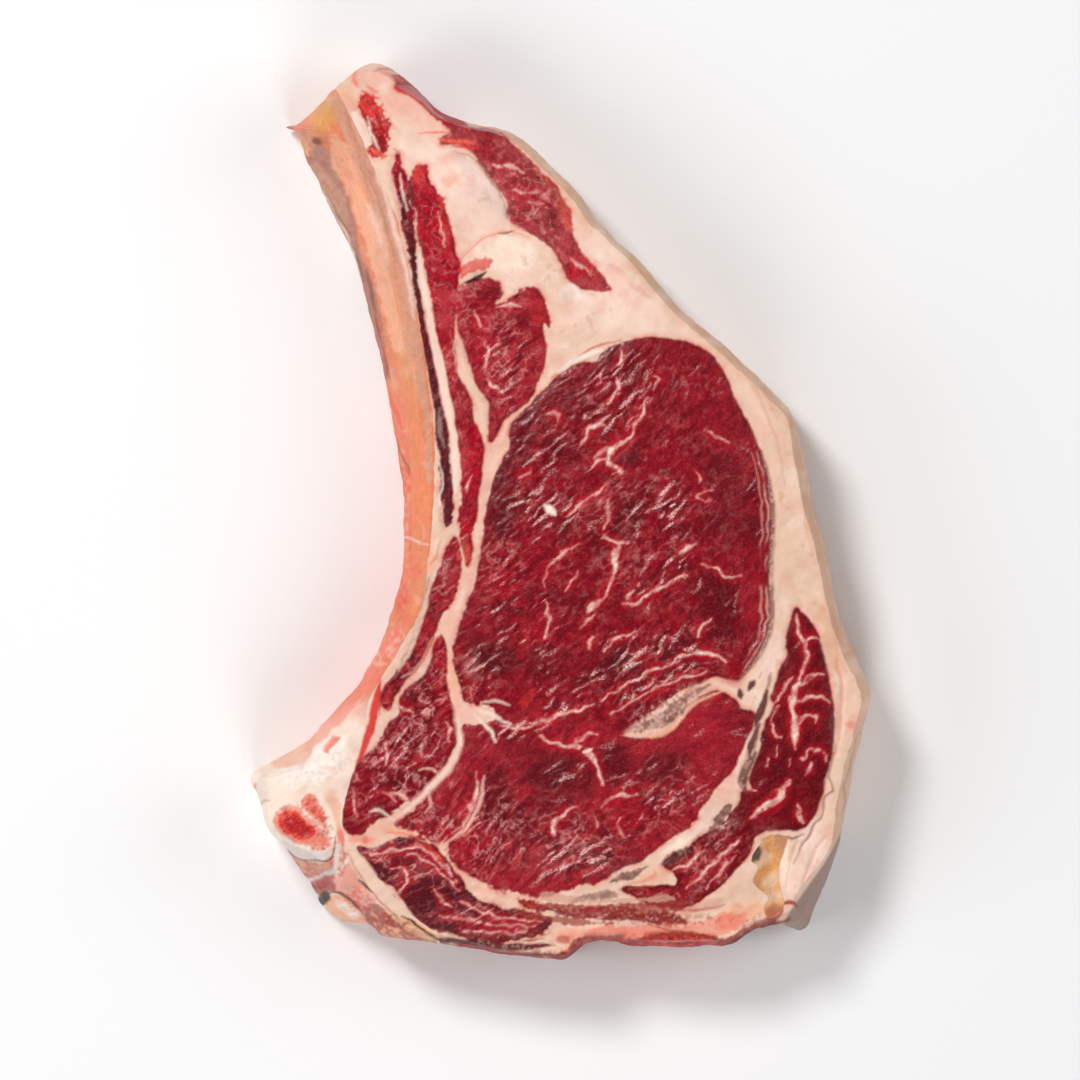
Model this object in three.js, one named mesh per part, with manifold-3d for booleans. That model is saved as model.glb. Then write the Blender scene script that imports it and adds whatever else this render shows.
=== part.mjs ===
// Bone-in rib steak, cut one rib thick and lying on its flat cut face.
// Millimetres. +Z is up, +Y runs towards the free end of the rib, +X towards the back fat.
// Each muscle and bone is a column that runs through the whole thickness of the steak, and
// one web of fat holds them all together.
import * as THREE from "three";
import { mergeVertices } from "three/addons/utils/BufferGeometryUtils.js";
import Module from "manifold-3d";

const wasm = await Module();
wasm.setup();

// Driving dimensions
const THICKNESS = 36; // from the cutting board to the top cut face
const GAP = 0.3; // between neighbouring pieces
const ABOVE = 60; // height of a column before the top face trims it
const BELOW = -20; // how far the trimming slab reaches under the steak
const SLAB_MARGIN = 3; // how far the trimming slab reaches past an outline
const FOOT_TUCK = 2.2; // how far the sides draw in where the steak meets the board
const FOOT_HEIGHT = 5; // height of that tuck
const FAT_LEAN = 4; // a lean up to this is a rounded fat edge
const FAT_POWER = 4; // how late the side of such an edge turns in
const BONE_LEAN = 10; // a lean from this on is the straight flank of a bone
const BONE_POWER = 1.3; // how late the side of such a flank turns in
const LAST_TURN = 1.1; // share of the thickness up to which a side goes on turning in
const SIDE_WAVE = 0.7; // depth of the slow waves in the sides
const WAVE_STEP = 0.9; // turn of that wave from one corner of the outline to the next
const WAVE_SHIFT = 1.3; // turn of that wave from one ring to the next
const SIDE_LEVELS = [0, 4, 14, 26, 33, 42]; // heights of the rings that shape the sides
const SHARPEST = 0.4; // limits how far a pointed corner moves when its outline is moved
const BULGE_REACH = 7; // distance from its edge over which a muscle swells up
const OUTLINE_STEP = 6.5; // longest straight stretch of the steak's own outline
const FAT_CELL = 9; // size of the facets of the fat's top

// The steak's outline seen from above, clockwise from the sawn tip of the rib.
// The third number is how far the top edge leans in from the widest outline.
const STEAK_OUTLINE = [
  [-81.5, 117, 8], [-73, 124, 5], [-64, 132, 4], [-56, 136, 3.5], [-47, 131, 3.5], [-38, 122.5, 3],
  [-24, 117, 3], [-10, 111.5, 3], [2, 100, 3], [11, 88, 3], [25, 74.5, 3], [40, 58, 3],
  [55, 45, 3], [66, 34.5, 3], [71.5, 26, 3], [75, 9, 3.5], [79, -7, 3.5], [83.5, -27, 4],
  [88.5, -42, 4], [94.3, -56, 4], [91, -70, 4], [87.5, -85, 4], [84.5, -101, 4], [80, -115, 8],
  [75, -127, 9], [67, -126, 4], [57, -128, 4], [50, -132, 3.5], [35, -132, 3], [15, -130.5, 3],
  [7, -131.5, 3], [0, -136, 3], [-15, -135, 3], [-30, -132, 3], [-46, -130, 4], [-57, -127, 9],
  [-68, -125, 13], [-76, -115.5, 12], [-82, -104, 5], [-90, -94, 3], [-94.5, -81, 3], [-86, -75, 4],
  [-76, -69, 5], [-66, -57.5, 5], [-56, -43, 6], [-50.5, -27, 7.5], [-48, -8, 8], [-49, 11, 9],
  [-53, 33, 10], [-58, 56, 11], [-65, 80, 12], [-73, 96, 14], [-78.5, 108, 13],
];

// Low swellings and hollows of the top face: x, y, radius, height.
const SWELLINGS = [
  [18, 8, 34, 1.1],
  [10, -90, 34, 0.9],
  [72, -62, 16, 0.6],
  [-28, -120, 16, 0.8],
  [-22, 84, 14, -1.5],
  [10, 60, 9, -0.8],
  [88, -62, 9, -1.2],
  [80, -108, 10, -1.6],
  [48, -92, 8, -0.9],
  [-80, -84, 10, 0.8],
  [-40, -60, 10, -0.6],
];

// Outlines of the columns, seen from above
const RIB_BONE_EDGE = [
  [-66, 124], [-60, 112], [-55, 100], [-49, 87], [-46, 74], [-42.5, 57], [-40.5, 43], [-38.5, 30],
  [-38, 10], [-39, -8], [-41, -25], [-46, -37], [-54, -50], [-58, -57],
];
const RIB_BONE_OUTSIDE = [[-78, -62], [-110, -62], [-110, 145], [-69, 145], [-69, 129]];

const CHINE_BONE_EDGE = [
  [-58, -57], [-60, -68], [-62.5, -79], [-65.5, -90], [-64.5, -97], [-62.5, -101], [-54, -111],
  [-46, -120], [-36.5, -127],
];
const CHINE_BONE_OUTSIDE = [[-36, -145], [-110, -145], [-110, -61.5], [-78, -61.5]];

const EYE_MUSCLE = [
  [22, 51.5], [36, 51], [45, 47], [50.5, 38], [56, 27], [60.5, 16], [63.5, 0], [62.5, -20],
  [62.5, -34], [58.5, -44], [52.5, -51.5], [47, -49.5], [37, -53], [28, -60], [18, -67], [0, -65],
  [-18, -62], [-25, -57], [-31, -50], [-32, -40], [-28, -28], [-24.5, -16], [-22.5, 0], [-20, 10],
  [-15.5, 19], [-14.5, 26], [-7, 34.5], [0, 41], [10, 45], [17, 50],
];
const UNDER_MUSCLE = [
  [-18, -63], [-29, -65.5], [-33, -78], [-41, -86], [-49.5, -93], [-46, -95.5], [-40, -98],
  [-34, -101.5], [-28, -108], [-18, -112.5], [-6, -115], [6, -112.5], [20, -106.5], [30, -100],
  [38, -95], [46, -84], [54, -73], [58, -61], [52, -56.5], [45, -54.5], [37, -60], [30, -67],
  [20, -68.5], [0, -66],
];
const CAP_MUSCLE = [
  [70.5, -29], [76, -35], [79.5, -46], [82, -64], [80.5, -76], [77.5, -88], [73, -95], [66, -95.5],
  [58, -98], [55, -104.5], [48, -112], [38, -118], [26, -117], [18, -113.5], [35, -112],
  [32, -106], [43, -97.5], [50, -93], [54, -84.5], [57, -78], [60, -68], [64, -57], [66, -47],
  [68, -38],
];
const CORNER_MUSCLE = [
  [-36, -37], [-34, -46], [-33.5, -55], [-31.5, -65], [-33.5, -74], [-39, -82], [-47, -88.5],
  [-58, -94.5], [-63, -97], [-65.5, -91], [-62.5, -80], [-57.5, -72.5], [-51, -63], [-46, -53],
  [-39.5, -46],
];
const BOTTOM_MUSCLE = [
  [-61, -101], [-50, -98.5], [-40, -100], [-34, -106.5], [-27, -115], [-15, -120], [-3, -122.5],
  [-12, -127.5], [-27, -128.5], [-42, -123.5], [-50, -113], [-57, -106],
];
const UPPER_MUSCLE = [
  [-31, 66], [-28, 69], [-21, 70], [-18.5, 65], [-13, 64.5], [-9.5, 67.5], [-5, 62.5],
  [-3, 56.5], [-5, 53], [-4.5, 49], [-7, 38.5], [-12, 31], [-20, 21], [-22, 33], [-27, 43],
  [-31, 56],
];
const RIB_STRIP = [
  [-45, 97], [-44, 103], [-40.5, 103.5], [-37.5, 96], [-33.5, 86], [-30.5, 74], [-31.5, 60],
  [-31.5, 45], [-27, 31], [-24, 22], [-24, 8], [-26, -4], [-28, -16.5], [-30, -4], [-30, 10],
  [-31.5, 26], [-36, 48], [-38.5, 62], [-41.5, 77], [-44, 90],
];
const LOWER_RIB_STRIP = [
  [-32, -8], [-38, -20], [-41, -31], [-46, -42], [-53, -53], [-53.5, -58], [-47, -51],
  [-40, -42], [-36, -32], [-31, -22], [-29.5, -18],
];
const DARK_STRIP_MIDDLE = [
  [-49, 105], [-47, 95], [-45, 81], [-43, 68], [-41, 55], [-38.5, 40], [-36.5, 28], [-35, 16],
  [-34.5, 4], [-34, -4],
];
const DARK_STRIP_WIDTHS = [3, 4, 2.4, 2.2, 2, 2.2, 3, 3.2, 2.6, 1.6];
const END_MUSCLE = [
  [-59.5, 122.5], [-57, 125], [-54, 120.5], [-51.5, 112], [-53, 106.5], [-56.5, 107.5], [-57.5, 116],
];
const TOP_STRIP = [
  [-49, 127], [-45, 127.5], [-40, 122.5], [-35, 117.5], [-27, 115], [-14, 108], [-4, 97.5],
  [3, 88], [6, 78], [14, 68.5], [10, 66], [2, 70], [-3, 79], [-12, 85], [-16, 92], [-23, 103],
  [-30, 110], [-35.5, 112], [-39, 117.5], [-43.5, 122.5],
];
const BOTTOM_STRIP = [
  [-11, -117.5], [0, -119.5], [20, -119], [32, -120.5], [38, -123], [31, -124], [15, -122.7],
  [0, -121.8], [-8, -119.6],
];
const EDGE_STRIP = [[25, -127], [35, -126.4], [45, -127.4], [47.5, -129], [38, -129.3], [28, -129.2]];
const BACK_STRAP = [
  [63, -97.5], [68, -98], [65.5, -107], [67, -117], [62, -122], [61, -119], [62, -116],
  [57.5, -111], [57, -105], [59, -101],
];
const TENDON = [
  [-70.5, -116.5], [-67, -115.5], [-60, -121.5], [-58.5, -125], [-64, -126.5], [-70, -122.5],
];
const MARROW = [
  [-85.5, -91], [-81, -88.5], [-78, -87.5], [-75, -84.5], [-71.5, -89], [-69, -93], [-68.3, -98],
  [-70, -101.8], [-75, -100.7], [-80, -98], [-84, -94.5],
];

const COLOURS = {
  muscle: "#8a1a22",
  darkMuscle: "#66141d",
  fat: "#e2c3ab",
  bone: "#e8a488",
  cartilage: "#f3dfcf",
  marrow: "#d9484c",
  tendon: "#ecc3a8",
  strap: "#d3aa6d",
};

// A closed smooth outline through the points, with straight stretches up to step long.
function smoothOutline(points, step) {
  const corners = points.map(([x, y, z = 0]) => new THREE.Vector3(x, y, z));
  const curve = new THREE.CatmullRomCurve3(corners, true, "centripetal");
  const outline = [];
  corners.forEach((corner, i) => {
    const next = corners[(i + 1) % corners.length];
    const parts = Math.max(1, Math.round(corner.distanceTo(next) / step));
    for (let k = 0; k < parts; k += 1) {
      outline.push(curve.getPoint((i + k / parts) / corners.length));
    }
  });
  return turnedLeft(outline);
}

// A smooth open edge closed by straight outside corners.
function edgeOutline(edge, outside, step) {
  const points = edge.map(([x, y]) => new THREE.Vector3(x, y, 0));
  const curve = new THREE.CatmullRomCurve3(points, false, "centripetal");
  const along = curve.getSpacedPoints(Math.round(curve.getLength() / step));
  return turnedLeft([...along, ...outside.map(([x, y]) => new THREE.Vector3(x, y, 0))]);
}

// A band of varying width along a smooth middle line.
function bandOutline(middle, widths, step) {
  const line = new THREE.CatmullRomCurve3(middle.map(([x, y]) => new THREE.Vector3(x, y, 0)));
  const count = Math.round(line.getLength() / step);
  const left = [];
  const right = [];
  for (let i = 0; i <= count; i += 1) {
    const along = i / count;
    const place = along * (widths.length - 1);
    const before = Math.min(Math.floor(place), widths.length - 2);
    const half = THREE.MathUtils.lerp(widths[before], widths[before + 1], place - before) / 2;
    const point = line.getPoint(along);
    const way = line.getTangent(along);
    left.push(new THREE.Vector3(point.x - way.y * half, point.y + way.x * half, 0));
    right.unshift(new THREE.Vector3(point.x + way.y * half, point.y - way.x * half, 0));
  }
  return turnedLeft([...left, ...right]);
}

// The outline in counter-clockwise order.
function turnedLeft(outline) {
  return THREE.ShapeUtils.area(outline) < 0 ? outline.slice().reverse() : outline;
}

// The inward normal of the stretch from one corner to the next.
function inwardOf(from, to) {
  return new THREE.Vector2(from.y - to.y, to.x - from.x).normalize();
}

// The outline moved inwards by a distance of its own at each corner, with pointed tips kept.
function movedIn(outline, distanceAt) {
  return outline.map((corner, i) => {
    const before = inwardOf(outline[(i + outline.length - 1) % outline.length], corner);
    const after = inwardOf(corner, outline[(i + 1) % outline.length]);
    const normal = before.clone().add(after).normalize();
    const reach = distanceAt(corner, i) / Math.max(SHARPEST, normal.dot(before));
    return new THREE.Vector3(corner.x + normal.x * reach, corner.y + normal.y * reach, corner.z);
  });
}

function solidOf(geometry) {
  geometry.deleteAttribute("normal");
  geometry.deleteAttribute("uv");
  const merged = mergeVertices(geometry, 1e-4);
  return new wasm.Manifold(
    new wasm.Mesh({
      numProp: 3,
      vertProperties: merged.attributes.position.array,
      triVerts: new Uint32Array(merged.index.array),
    }),
  );
}

// A column with this outline, from the board up past the top face.
function column(outline) {
  const shape = new THREE.Shape(outline.map((corner) => new THREE.Vector2(corner.x, corner.y)));
  return solidOf(new THREE.ExtrudeGeometry(shape, { depth: ABOVE, bevelEnabled: false }));
}

// How far inside an outline a point lies, or 0 outside it.
function depthInside(outline, x, y) {
  let inside = false;
  let nearest = Infinity;
  outline.forEach((a, i) => {
    const b = outline[(i + 1) % outline.length];
    const lengthSquared = (b.x - a.x) ** 2 + (b.y - a.y) ** 2;
    const share = ((x - a.x) * (b.x - a.x) + (y - a.y) * (b.y - a.y)) / lengthSquared;
    const t = THREE.MathUtils.clamp(share, 0, 1);
    nearest = Math.min(nearest, Math.hypot(x - a.x - t * (b.x - a.x), y - a.y - t * (b.y - a.y)));
    if (a.y > y !== b.y > y && x < a.x + ((y - a.y) * (b.x - a.x)) / (b.y - a.y)) {
      inside = !inside;
    }
  });
  return inside ? nearest : 0;
}

// The height of the top cut face, before a muscle swells out of it.
function faceHeight(x, y) {
  return SWELLINGS.reduce((height, [sx, sy, radius, swell]) => {
    const distance = Math.hypot(x - sx, y - sy) / radius;
    return height + swell * Math.exp(-distance * distance);
  }, THICKNESS);
}

// A slab that trims a column to the top face. It covers the outline in square cells, and
// its top swells by bulge towards the middle of the outline.
function trimmingSlab(outline, cell, bulge) {
  const box = new THREE.Box2().setFromPoints(outline).expandByScalar(SLAB_MARGIN);
  const size = box.getSize(new THREE.Vector2());
  const middle = box.getCenter(new THREE.Vector2());
  const across = Math.ceil(size.x / cell);
  const along = Math.ceil(size.y / cell);
  const geometry = new THREE.BoxGeometry(size.x, size.y, 2, across, along, 1);
  const points = geometry.attributes.position;
  for (let i = 0; i < points.count; i += 1) {
    const x = points.getX(i) + middle.x;
    const y = points.getY(i) + middle.y;
    const swell = bulge * (1 - Math.exp(-depthInside(outline, x, y) / BULGE_REACH));
    points.setXYZ(i, x, y, points.getZ(i) > 0 ? faceHeight(x, y) + swell : BELOW);
  }
  return solidOf(geometry);
}

// How far the side is drawn in at a height, where the top edge leans in by lean.
function drawnIn(lean, height) {
  const boniness = THREE.MathUtils.clamp((lean - FAT_LEAN) / (BONE_LEAN - FAT_LEAN), 0, 1);
  const power = THREE.MathUtils.lerp(FAT_POWER, BONE_POWER, boniness);
  const tuck = FOOT_TUCK * Math.max(0, 1 - height / FOOT_HEIGHT) ** 2;
  return lean * Math.min(LAST_TURN, height / THICKNESS) ** power + tuck;
}

// The whole steak as one body, its sides shaped by rings one above the other.
function wholeSteak(outline) {
  const rings = SIDE_LEVELS.map((height, level) =>
    movedIn(outline, (corner, i) => {
      const wave = level > 0 ? SIDE_WAVE * Math.sin(i * WAVE_STEP + level * WAVE_SHIFT) : 0;
      return drawnIn(corner.z, height) + wave;
    }),
  );
  const count = outline.length;
  const positions = rings.flatMap((ring, level) =>
    ring.flatMap((corner) => [corner.x, corner.y, SIDE_LEVELS[level]]),
  );
  const faces = [];
  for (let start = 0; start + count < rings.length * count; start += count) {
    for (let i = 0; i < count; i += 1) {
      const a = start + i;
      const b = start + ((i + 1) % count);
      faces.push(a, b, b + count, a, b + count, a + count);
    }
  }
  const topStart = (rings.length - 1) * count;
  THREE.ShapeUtils.triangulateShape(rings[0], []).forEach(([a, b, c]) => faces.push(c, b, a));
  THREE.ShapeUtils.triangulateShape(rings[rings.length - 1], []).forEach(([a, b, c]) =>
    faces.push(a + topStart, b + topStart, c + topStart),
  );
  const geometry = new THREE.BufferGeometry();
  geometry.setAttribute("position", new THREE.Float32BufferAttribute(positions, 3));
  geometry.setIndex(faces);
  return solidOf(geometry);
}

// The largest body of a cut, without the scraps that fall off it.
function largestBody(solid) {
  return solid.decompose().reduce((best, body) => (body.volume() > best.volume() ? body : best));
}

function meshOf(name, solid, colour, roughness) {
  const cut = solid.getMesh();
  const geometry = new THREE.BufferGeometry();
  geometry.setAttribute("position", new THREE.BufferAttribute(new Float32Array(cut.vertProperties), 3));
  geometry.setIndex(new THREE.BufferAttribute(new Uint32Array(cut.triVerts), 1));
  geometry.computeVertexNormals();
  const material = new THREE.MeshStandardMaterial({ color: colour, roughness, metalness: 0 });
  const mesh = new THREE.Mesh(geometry, material);
  mesh.name = name;
  return mesh;
}

// The columns in the order in which they take their room, each cut clear of those before it.
// bulge is how far the top swells or sinks, cell the size of its facets, room the gap round it.
const { muscle, darkMuscle, bone, cartilage, marrow, tendon, strap, fat } = COLOURS;
const PIECES = [
  {
    name: "tendon", outline: smoothOutline(TENDON, 3),
    colour: tendon, roughness: 0.35, bulge: 1.5, cell: 3, room: 1.1,
  },
  {
    name: "marrow", outline: smoothOutline(MARROW, 4),
    colour: marrow, roughness: 0.5, bulge: -0.3, cell: 6,
  },
  {
    name: "rib_bone", outline: edgeOutline(RIB_BONE_EDGE, RIB_BONE_OUTSIDE, 6),
    colour: bone, roughness: 0.45, bulge: -0.6, cell: 9,
  },
  {
    name: "chine_bone", outline: edgeOutline(CHINE_BONE_EDGE, CHINE_BONE_OUTSIDE, 5),
    colour: cartilage, roughness: 0.4, bulge: 1, cell: 8,
  },
  {
    name: "back_strap", outline: smoothOutline(BACK_STRAP, 4),
    colour: strap, roughness: 0.4, bulge: -3.5, cell: 4,
  },
  {
    name: "eye_muscle", outline: smoothOutline(EYE_MUSCLE, 6),
    colour: muscle, roughness: 0.4, bulge: 1.2, cell: 8,
  },
  {
    name: "under_muscle", outline: smoothOutline(UNDER_MUSCLE, 6),
    colour: muscle, roughness: 0.4, bulge: 1.1, cell: 8,
  },
  {
    name: "cap_muscle", outline: smoothOutline(CAP_MUSCLE, 5),
    colour: muscle, roughness: 0.3, bulge: 1, cell: 7,
  },
  {
    name: "corner_muscle", outline: smoothOutline(CORNER_MUSCLE, 6),
    colour: muscle, roughness: 0.4, bulge: 0.8, cell: 7,
  },
  {
    name: "bottom_muscle", outline: smoothOutline(BOTTOM_MUSCLE, 5),
    colour: darkMuscle, roughness: 0.4, bulge: 0.9, cell: 7,
  },
  {
    name: "upper_muscle", outline: smoothOutline(UPPER_MUSCLE, 5),
    colour: muscle, roughness: 0.4, bulge: 0.8, cell: 7,
  },
  {
    name: "rib_strip", outline: smoothOutline(RIB_STRIP, 6),
    colour: muscle, roughness: 0.4, bulge: 0.6, cell: 8,
  },
  {
    name: "lower_rib_strip", outline: smoothOutline(LOWER_RIB_STRIP, 5),
    colour: darkMuscle, roughness: 0.35, bulge: -0.6, cell: 7,
  },
  {
    name: "dark_strip", outline: bandOutline(DARK_STRIP_MIDDLE, DARK_STRIP_WIDTHS, 8),
    colour: darkMuscle, roughness: 0.3, bulge: -1, cell: 9,
  },
  {
    name: "end_muscle", outline: smoothOutline(END_MUSCLE, 4),
    colour: muscle, roughness: 0.4, bulge: 0.5, cell: 5,
  },
  {
    name: "top_strip", outline: smoothOutline(TOP_STRIP, 6),
    colour: muscle, roughness: 0.4, bulge: 0.6, cell: 7,
  },
  {
    name: "bottom_strip", outline: smoothOutline(BOTTOM_STRIP, 7),
    colour: muscle, roughness: 0.4, bulge: 0.4, cell: 7,
  },
  {
    name: "edge_strip", outline: smoothOutline(EDGE_STRIP, 5),
    colour: muscle, roughness: 0.4, bulge: 0.4, cell: 6,
  },
];

function steak() {
  const group = new THREE.Group();
  const outline = smoothOutline(STEAK_OUTLINE, OUTLINE_STEP);
  const body = wholeSteak(outline);
  const taken = [];
  PIECES.forEach(({ name, outline: own, colour, roughness, bulge, cell, room = GAP }) => {
    const trimmed = column(own).intersect(trimmingSlab(own, cell, bulge)).intersect(body);
    const solid = taken.length ? trimmed.subtract(wasm.Manifold.union(taken)) : trimmed;
    group.add(meshOf(name, largestBody(solid), colour, roughness));
    taken.push(column(movedIn(own, () => -room)));
  });
  const web = body.intersect(trimmingSlab(outline, FAT_CELL, 0)).subtract(wasm.Manifold.union(taken));
  group.add(meshOf("fat", largestBody(web), fat, 0.45));
  return group;
}

// The origin is on the board, under the middle of the steak's own box.
const part = new THREE.Group();
const centred = steak();
const box = new THREE.Box3().setFromObject(centred);
const middle = box.getCenter(new THREE.Vector3());
centred.position.set(-middle.x, -middle.y, -box.min.z);
part.add(centred);

export default part;
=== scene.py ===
import math

import bpy
import numpy as np
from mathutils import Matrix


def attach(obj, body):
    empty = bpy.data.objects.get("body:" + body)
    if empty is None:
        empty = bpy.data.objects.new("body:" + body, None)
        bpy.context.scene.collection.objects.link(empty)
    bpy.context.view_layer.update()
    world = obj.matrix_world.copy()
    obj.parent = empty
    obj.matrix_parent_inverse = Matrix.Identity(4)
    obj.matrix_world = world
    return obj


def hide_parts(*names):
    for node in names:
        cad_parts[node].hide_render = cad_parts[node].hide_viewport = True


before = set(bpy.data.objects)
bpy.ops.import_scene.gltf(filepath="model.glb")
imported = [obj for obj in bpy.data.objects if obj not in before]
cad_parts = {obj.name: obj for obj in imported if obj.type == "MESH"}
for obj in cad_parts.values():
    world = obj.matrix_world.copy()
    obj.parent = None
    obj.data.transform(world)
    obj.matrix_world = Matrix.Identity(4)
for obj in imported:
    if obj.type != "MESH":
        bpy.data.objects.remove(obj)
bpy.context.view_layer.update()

# Places and sizes are in millimetres up to the floor and the lights, and were measured on the
# photo, with +Y towards the tip of the rib.
MM = 0.001
# From the middle of the drawing to the middle of the frame
FRAME_SHIFT = (-0.124, -0.028)
THICKNESS = 36.0
# Colours and relief are worked out on a lattice of square cells.
CELL = 0.36
LEFT = -100.8
RIGHT = 100.8
FRONT = -141.84
BACK = 141.84
COLUMNS = int(round((RIGHT - LEFT) / CELL)) + 1
ROWS = int(round((BACK - FRONT) / CELL)) + 1
X, Y = np.meshgrid(LEFT + CELL * np.arange(COLUMNS), FRONT + CELL * np.arange(ROWS))
# Keep divisions clear of zero
TINY = 1e-9
TINIER = 1e-12

# Outlines seen from above, read off the photo

SILHOUETTE = [
    (-84, 117), (-80.5, 118), (-77, 120.5), (-73, 124), (-69, 128), (-64, 132), (-60, 135), (-56, 136),
    (-53, 135), (-50, 133.5), (-47, 131), (-44, 128.5), (-41, 125.5), (-38, 122.5), (-35, 120.5),
    (-30, 118.5), (-24, 117), (-19, 116), (-14, 114), (-10, 111.5), (-6, 108), (-2, 104), (2, 100),
    (6, 95.5), (9, 91), (11, 88), (14, 85.5), (17, 82), (20, 79.5), (25, 74.5), (30, 68.5), (35, 62.5),
    (40, 58), (45, 54), (50, 50), (55, 45), (60, 41), (65, 35.5), (69, 31.5), (70.5, 29), (72, 24),
    (73, 19), (74.5, 12), (75.5, 6), (77, 0), (79, -7), (80.5, -14), (82, -20), (83.5, -27), (85, -33),
    (87.5, -39), (90, -44.5), (92.5, -50), (94.3, -56), (93.5, -60), (92, -65), (90.5, -71), (89, -77),
    (88, -82), (87, -88), (86, -94), (84.5, -101), (83, -106), (81, -112), (79, -117), (77, -122),
    (75.5, -126), (73, -127.5), (70, -126.5), (66, -125.5), (63, -126), (59, -127), (56, -128.5),
    (53, -131), (50, -132), (45, -132), (35, -132), (25, -132), (20, -131.5), (17, -130.5), (11, -130),
    (8, -131), (5, -133.5), (2, -135.5), (0, -136), (-4, -135.5), (-13, -135), (-20, -134), (-27, -132.5),
    (-33, -131.5), (-40, -130.5), (-46, -130), (-52, -129.5), (-55, -129), (-57, -127), (-60, -126),
    (-65, -126), (-68, -125), (-71, -123), (-74, -120), (-75, -117.5), (-77, -113.5), (-79, -110),
    (-81, -106), (-82, -104), (-84.5, -100.5), (-88, -98), (-90, -94), (-91, -89), (-92.5, -85),
    (-94.5, -81), (-93, -78.5), (-90, -77), (-85, -74.5), (-80, -71.5), (-76, -69), (-73, -65),
    (-70, -62), (-66, -57.5), (-62, -53), (-59, -48), (-56, -43), (-54, -38), (-52.5, -33), (-50.5, -27),
    (-49, -20), (-48, -12), (-48, -5), (-47.8, 2), (-48.5, 8), (-49.5, 14), (-50.5, 20), (-52, 27),
    (-54, 38), (-56, 48), (-58, 56), (-60, 64), (-62.5, 73), (-65, 80), (-68, 86), (-71, 92), (-73, 96),
    (-75, 101), (-78, 106), (-80, 112), (-81, 116),
]
# How far the top edge leans in from the widest outline: x, y, lean
LEANS = [
    (-81.5, 117, 8), (-73, 124, 5), (-64, 132, 4), (-56, 136, 3.5), (-47, 131, 3.5), (-38, 122.5, 3),
    (-24, 117, 3), (-10, 111.5, 3), (2, 100, 3), (11, 88, 3), (25, 74.5, 3), (40, 58, 3), (55, 45, 3),
    (66, 34.5, 3), (71.5, 26, 3), (75, 9, 3.5), (79, -7, 3.5), (83.5, -27, 4), (88.5, -42, 4),
    (94.3, -56, 4), (91, -70, 4), (87.5, -85, 4), (84.5, -101, 4), (80, -115, 8), (75, -127, 9),
    (67, -126, 4), (57, -128, 4), (50, -132, 3.5), (35, -132, 3), (15, -130.5, 3), (7, -131.5, 3),
    (0, -136, 3), (-15, -135, 3), (-30, -132, 3), (-46, -130, 4), (-57, -127, 9), (-68, -125, 13),
    (-76, -115.5, 12), (-82, -104, 5), (-90, -94, 3), (-94.5, -81, 3), (-86, -75, 4), (-76, -69, 5),
    (-66, -57.5, 5), (-56, -43, 6), (-50.5, -27, 7.5), (-48, -8, 8), (-49, 11, 9), (-53, 33, 10),
    (-58, 56, 11), (-65, 80, 12), (-73, 96, 14), (-78.5, 108, 13),
]
RIB_BONE_EDGE = [
    (-66, 124), (-63, 118), (-60, 112), (-57.5, 106), (-55, 100), (-52, 94), (-49, 87), (-47.5, 80),
    (-46, 74), (-44.5, 66), (-42.5, 57), (-41.5, 50), (-40.5, 43), (-39.5, 36), (-38.5, 30), (-38, 20),
    (-38, 10), (-38.5, 0), (-39, -8), (-40, -15), (-41, -25), (-43, -32), (-46, -37), (-50, -44),
    (-54, -50), (-57, -55), (-58, -57),
]
RIB_BONE_OUTSIDE = [(-78, -62), (-100, -62), (-100, 141), (-69, 141), (-69, 129)]
CHINE_BONE_EDGE = [
    (-58, -57), (-58.5, -63), (-60, -70), (-61, -74), (-62.5, -79), (-64, -84), (-65.5, -90),
    (-65.5, -94), (-64.5, -97), (-62.5, -101), (-58, -106), (-54, -111), (-50, -115.5), (-46, -120),
    (-42, -123.5), (-36.5, -127),
]
CHINE_BONE_OUTSIDE = [(-36, -141), (-100, -141), (-100, -61.5), (-78, -61.5)]
EYE_MUSCLE = [
    (22, 51.5), (30, 52), (36, 51), (41, 49.5), (45, 47), (48, 43), (50.5, 38), (53, 32), (56, 27),
    (59, 20.5), (60.5, 16), (62, 11), (63, 6), (63.5, 0), (63.5, -6), (63, -12), (62.5, -20), (63, -28),
    (62.5, -34), (61, -39), (58.5, -44), (55, -49), (52.5, -51.5), (47, -49.5), (41, -52), (37, -53),
    (33, -56), (28, -60), (23, -64), (18, -67), (8, -66.5), (0, -65), (-10, -62.5), (-18, -62),
    (-21, -60), (-25, -57), (-29, -54), (-31, -50), (-32.5, -45), (-32, -40), (-30, -34), (-28, -28),
    (-26, -22), (-24.5, -16), (-23.5, -10), (-23, -4), (-22, 3), (-20, 10), (-17, 16), (-15.5, 19),
    (-15, 25), (-11, 30), (-7, 34.5), (-3, 38), (0, 41), (4, 44), (10, 45), (13, 48), (17, 50),
]
UNDER_MUSCLE = [
    (-18, -62.5), (-24, -64), (-29, -65), (-30.5, -70), (-33, -78), (-37, -82), (-41, -86), (-45, -89),
    (-49, -92), (-50, -94.5), (-46, -95), (-41, -96), (-39, -98.5), (-35, -99), (-34, -101.5),
    (-32, -105), (-28, -108), (-23, -111), (-18, -112.5), (-12, -114), (-6, -115), (0, -114), (6, -112.5),
    (12, -110.5), (16, -108), (20, -106.5), (24, -105), (27, -102.5), (30, -100), (35, -97), (38, -95),
    (41, -91), (43, -88), (46, -84), (49, -80.5), (52, -77), (54, -73), (56, -68), (57.5, -64),
    (58, -60.5), (54, -59), (52, -56.5), (49, -54.5), (46, -54), (42, -55.5), (39, -58), (36, -61),
    (34, -64), (30, -67), (26, -68), (20, -68), (15, -66), (0, -63), (-10, -61),
]
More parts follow.
